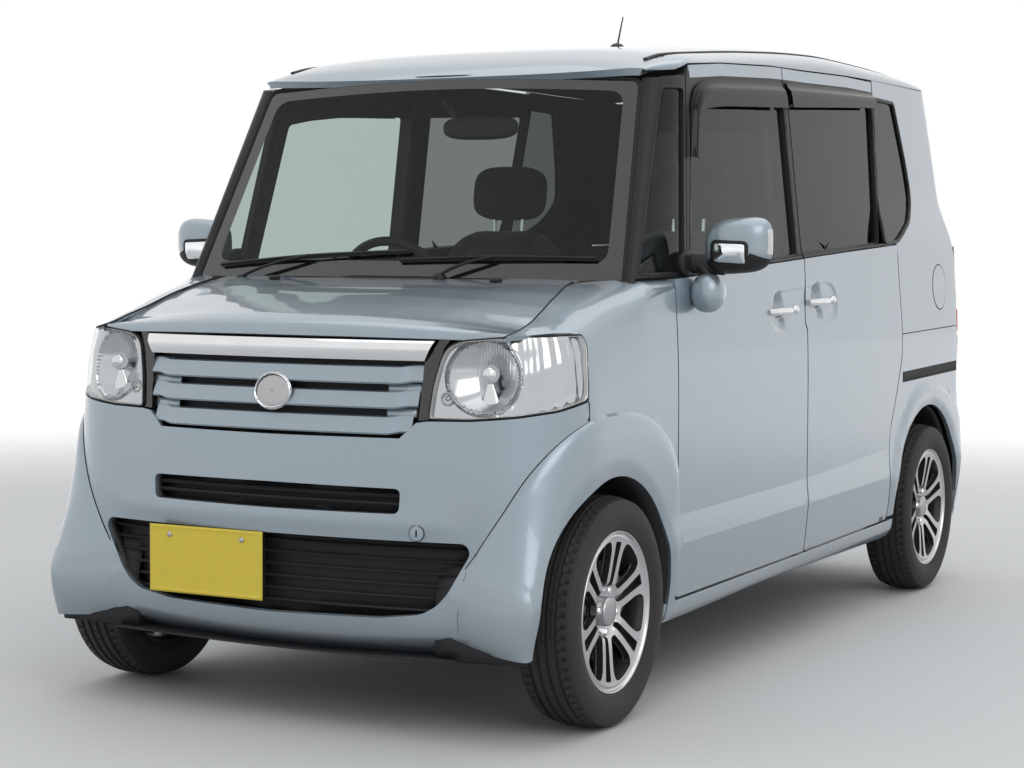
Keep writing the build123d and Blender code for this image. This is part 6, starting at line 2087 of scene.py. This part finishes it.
class KEI_OT_stage(Build, bpy.types.Operator):
    """Plain pale floor, white surroundings, four soft lamps and the camera"""
    bl_idname = "kei.stage"
    bl_label = "Stage"

    def make(self, looks, sizes):
        scene = bpy.context.scene
        half = 40.0                                    # of the floor, in metres
        mesh = bpy.data.meshes.new("floor")
        mesh.from_pydata([(-half, -half, 0), (half, -half, 0), (half, half, 0), (-half, half, 0)], [],
                         [(0, 1, 2, 3)])
        floor = bpy.data.objects.new("floor", mesh)
        scene.collection.objects.link(floor)
        f = Finish("pale_floor", Roughness=0.7, Emission_Strength=1.0)
        far = f.node("ShaderNodeVectorMath", {"operation": "LENGTH"}, {0: f.place()}, 1).ramp(3.6, 9.0)
        seen = f.node("ShaderNodeLightPath", {}, {}, "Is Camera Ray") + f.node("ShaderNodeLightPath", {}, {},
            "Is Glossy Ray")
        pale = f.mix(f.noise(0.8, 5), (0.66, 0.66, 0.655), (0.72, 0.72, 0.715))
        f.set(Base_Color=f.mix(far, pale, (0, 0, 0)),
              Emission_Color=f.mix(far * seen.clamp(), (0, 0, 0), (1, 1, 1)))
        mesh.materials.append(f.material)
        for name, at, size, power in (("key", (5.6, -5.2, 5.6), 5.5, 150.0),
                                      ("fill", (-6.6, -4.8, 4.2), 6.0, 80.0),
                                      ("top", (0.6, 0.8, 7.2), 8.0, 130.0),
                                      ("back", (2.0, 7.4, 4.8), 5.5, 80.0)):
            lamp = bpy.data.lights.new(name, "AREA")
            lamp.shape, lamp.size, lamp.energy = "SQUARE", size, power * looks.light
            o = bpy.data.objects.new(name, lamp)
            scene.collection.objects.link(o)
            o.location = at
            o.visible_glossy = name in ("key", "top")
            o.rotation_euler = (Vector((0, 0, 0.7)) - Vector(at)).to_track_quat("-Z", "Y").to_euler()
        world = bpy.data.worlds.new("surroundings")
        scene.world = world
        world.use_nodes = True
        tree = world.node_tree
        tree.nodes.clear()
        path = tree.nodes.new("ShaderNodeLightPath")
        soft, bright = tree.nodes.new("ShaderNodeBackground"), tree.nodes.new("ShaderNodeBackground")
        soft.inputs[0].default_value, soft.inputs[1].default_value = (0.92, 0.96, 1.0, 1), 0.56 * looks.light
        bright.inputs[0].default_value, bright.inputs[1].default_value = (1, 1, 1, 1), 1.0
        seen = tree.nodes.new("ShaderNodeMath")
        seen.operation = "MAXIMUM"
        tree.links.new(path.outputs["Is Camera Ray"], seen.inputs[0])
        tree.links.new(path.outputs["Is Transmission Ray"], seen.inputs[1])
        both = tree.nodes.new("ShaderNodeMath")
        both.operation = "MAXIMUM"
        tree.links.new(seen.outputs[0], both.inputs[0])
        tree.links.new(path.outputs["Is Glossy Ray"], both.inputs[1])
        mix, out = tree.nodes.new("ShaderNodeMixShader"), tree.nodes.new("ShaderNodeOutputWorld")
        tree.links.new(both.outputs[0], mix.inputs[0])
        tree.links.new(soft.outputs[0], mix.inputs[1])
        tree.links.new(bright.outputs[0], mix.inputs[2])
        tree.links.new(mix.outputs[0], out.inputs[0])
        yaw, pitch, roll = CAMERA_TURNS
        fw = Vector((-math.sin(yaw) * math.cos(pitch), math.cos(yaw) * math.cos(pitch), -math.sin(pitch)))
        rt = fw.cross(Vector((0, 0, 1))).normalized()
        up = rt.cross(fw)
        right, top = math.cos(roll) * rt + math.sin(roll) * up, -math.sin(roll) * rt + math.cos(roll) * up
        cam = bpy.data.cameras.new("camera")
        cam.sensor_width, cam.lens = 36.0, 77.87
        cam.shift_x, cam.shift_y = 0.0607, -0.00205
        cam.dof.use_dof = False
        cam.clip_start, cam.clip_end = 0.05, 100.0
        eye = bpy.data.objects.new("camera", cam)
        scene.collection.objects.link(eye)
        eye.matrix_world = Matrix(((right.x, top.x, -fw.x, EYE[0]), (right.y, top.y, -fw.y, EYE[1]),
                                   (right.z, top.z, -fw.z, EYE[2]), (0, 0, 0, 1)))
        scene.camera = eye
        scene.view_settings.view_transform = "Standard"
        scene.view_settings.look = "None"
        scene.render.film_transparent = False
        scene.cycles.use_denoising = True


# ------------------------------------------------------------------ settings and panel
class KeiLooks(bpy.types.PropertyGroup):
    """Colours and light"""
    paint: bpy.props.FloatVectorProperty(name="Paint", description="Body paint facing the light",
                                         subtype="COLOR", size=3,
                                         min=0, max=1, default=(0.335, 0.40, 0.45))
    paint_dark: bpy.props.FloatVectorProperty(name="Paint Dark",
                                              description="Body paint in its darker flakes", subtype="COLOR",
                                              size=3, min=0, max=1, default=(0.245, 0.30, 0.345))
    plate: bpy.props.FloatVectorProperty(name="Plate", description="Number plates", subtype="COLOR", size=3,
                                         min=0, max=1,
                                         default=(0.80, 0.62, 0.06))
    light: bpy.props.FloatProperty(name="Light", description="Strength of lamps and surroundings",
                                   default=1.0, min=0, max=5)


class KeiSizes(bpy.types.PropertyGroup):
    """Sizes"""
    grid: bpy.props.FloatProperty(name="Grid", description="Side of the body panels' triangles",
                                  default=0.026, min=0.01,
                                  max=0.1, subtype="DISTANCE", unit="LENGTH")
    shut_line: bpy.props.FloatProperty(name="Shut Line", description="Gap round the doors", default=0.0055,
                                       min=0.002,
                                       max=0.02, subtype="DISTANCE", unit="LENGTH")


STEPS = ("front_doors", "rear_doors", "side_frames", "front_fenders", "hood", "roof", "bumpers", "grille",
         "lamps", "tailgate",
         "front_plate", "glass", "mirrors", "trim", "tyres", "wheels", "cabin", "underbody", "stage")


class KEI_PT_panel(bpy.types.Panel):
    """Sidebar panel with the settings and one button for each group of pieces"""
    bl_label = "Kei Car"
    bl_idname = "KEI_PT_panel"
    bl_space_type = "VIEW_3D"
    bl_region_type = "UI"
    bl_category = "Kei Car"

    def draw(self, context):
        for group in (context.scene.kei_looks, context.scene.kei_sizes):
            for name in group.__annotations__:
                self.layout.prop(group, name)
        for name in STEPS:
            self.layout.operator("kei." + name)


CLASSES = (KeiLooks, KeiSizes, KEI_OT_front_doors, KEI_OT_rear_doors, KEI_OT_side_frames,
           KEI_OT_front_fenders, KEI_OT_hood, KEI_OT_roof, KEI_OT_bumpers, KEI_OT_grille, KEI_OT_lamps,
           KEI_OT_tailgate, KEI_OT_front_plate, KEI_OT_glass, KEI_OT_mirrors, KEI_OT_trim, KEI_OT_tyres,
           KEI_OT_wheels, KEI_OT_cabin, KEI_OT_underbody, KEI_OT_stage, KEI_PT_panel)


def register():
    """Makes the settings, buttons and panel known to Blender."""
    for c in CLASSES:
        bpy.utils.register_class(c)
    bpy.types.Scene.kei_looks = bpy.props.PointerProperty(type=KeiLooks)
    bpy.types.Scene.kei_sizes = bpy.props.PointerProperty(type=KeiSizes)


def unregister():
    """Takes them away again."""
    del bpy.types.Scene.kei_looks, bpy.types.Scene.kei_sizes
    for c in reversed(CLASSES):
        bpy.utils.unregister_class(c)


def main():
    """Registers the add-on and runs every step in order."""
    register()
    for name in STEPS:
        if getattr(bpy.ops.kei, name)() != {"FINISHED"}:
            raise RuntimeError(name + " did not finish")


if __name__ == "__main__":
    main()
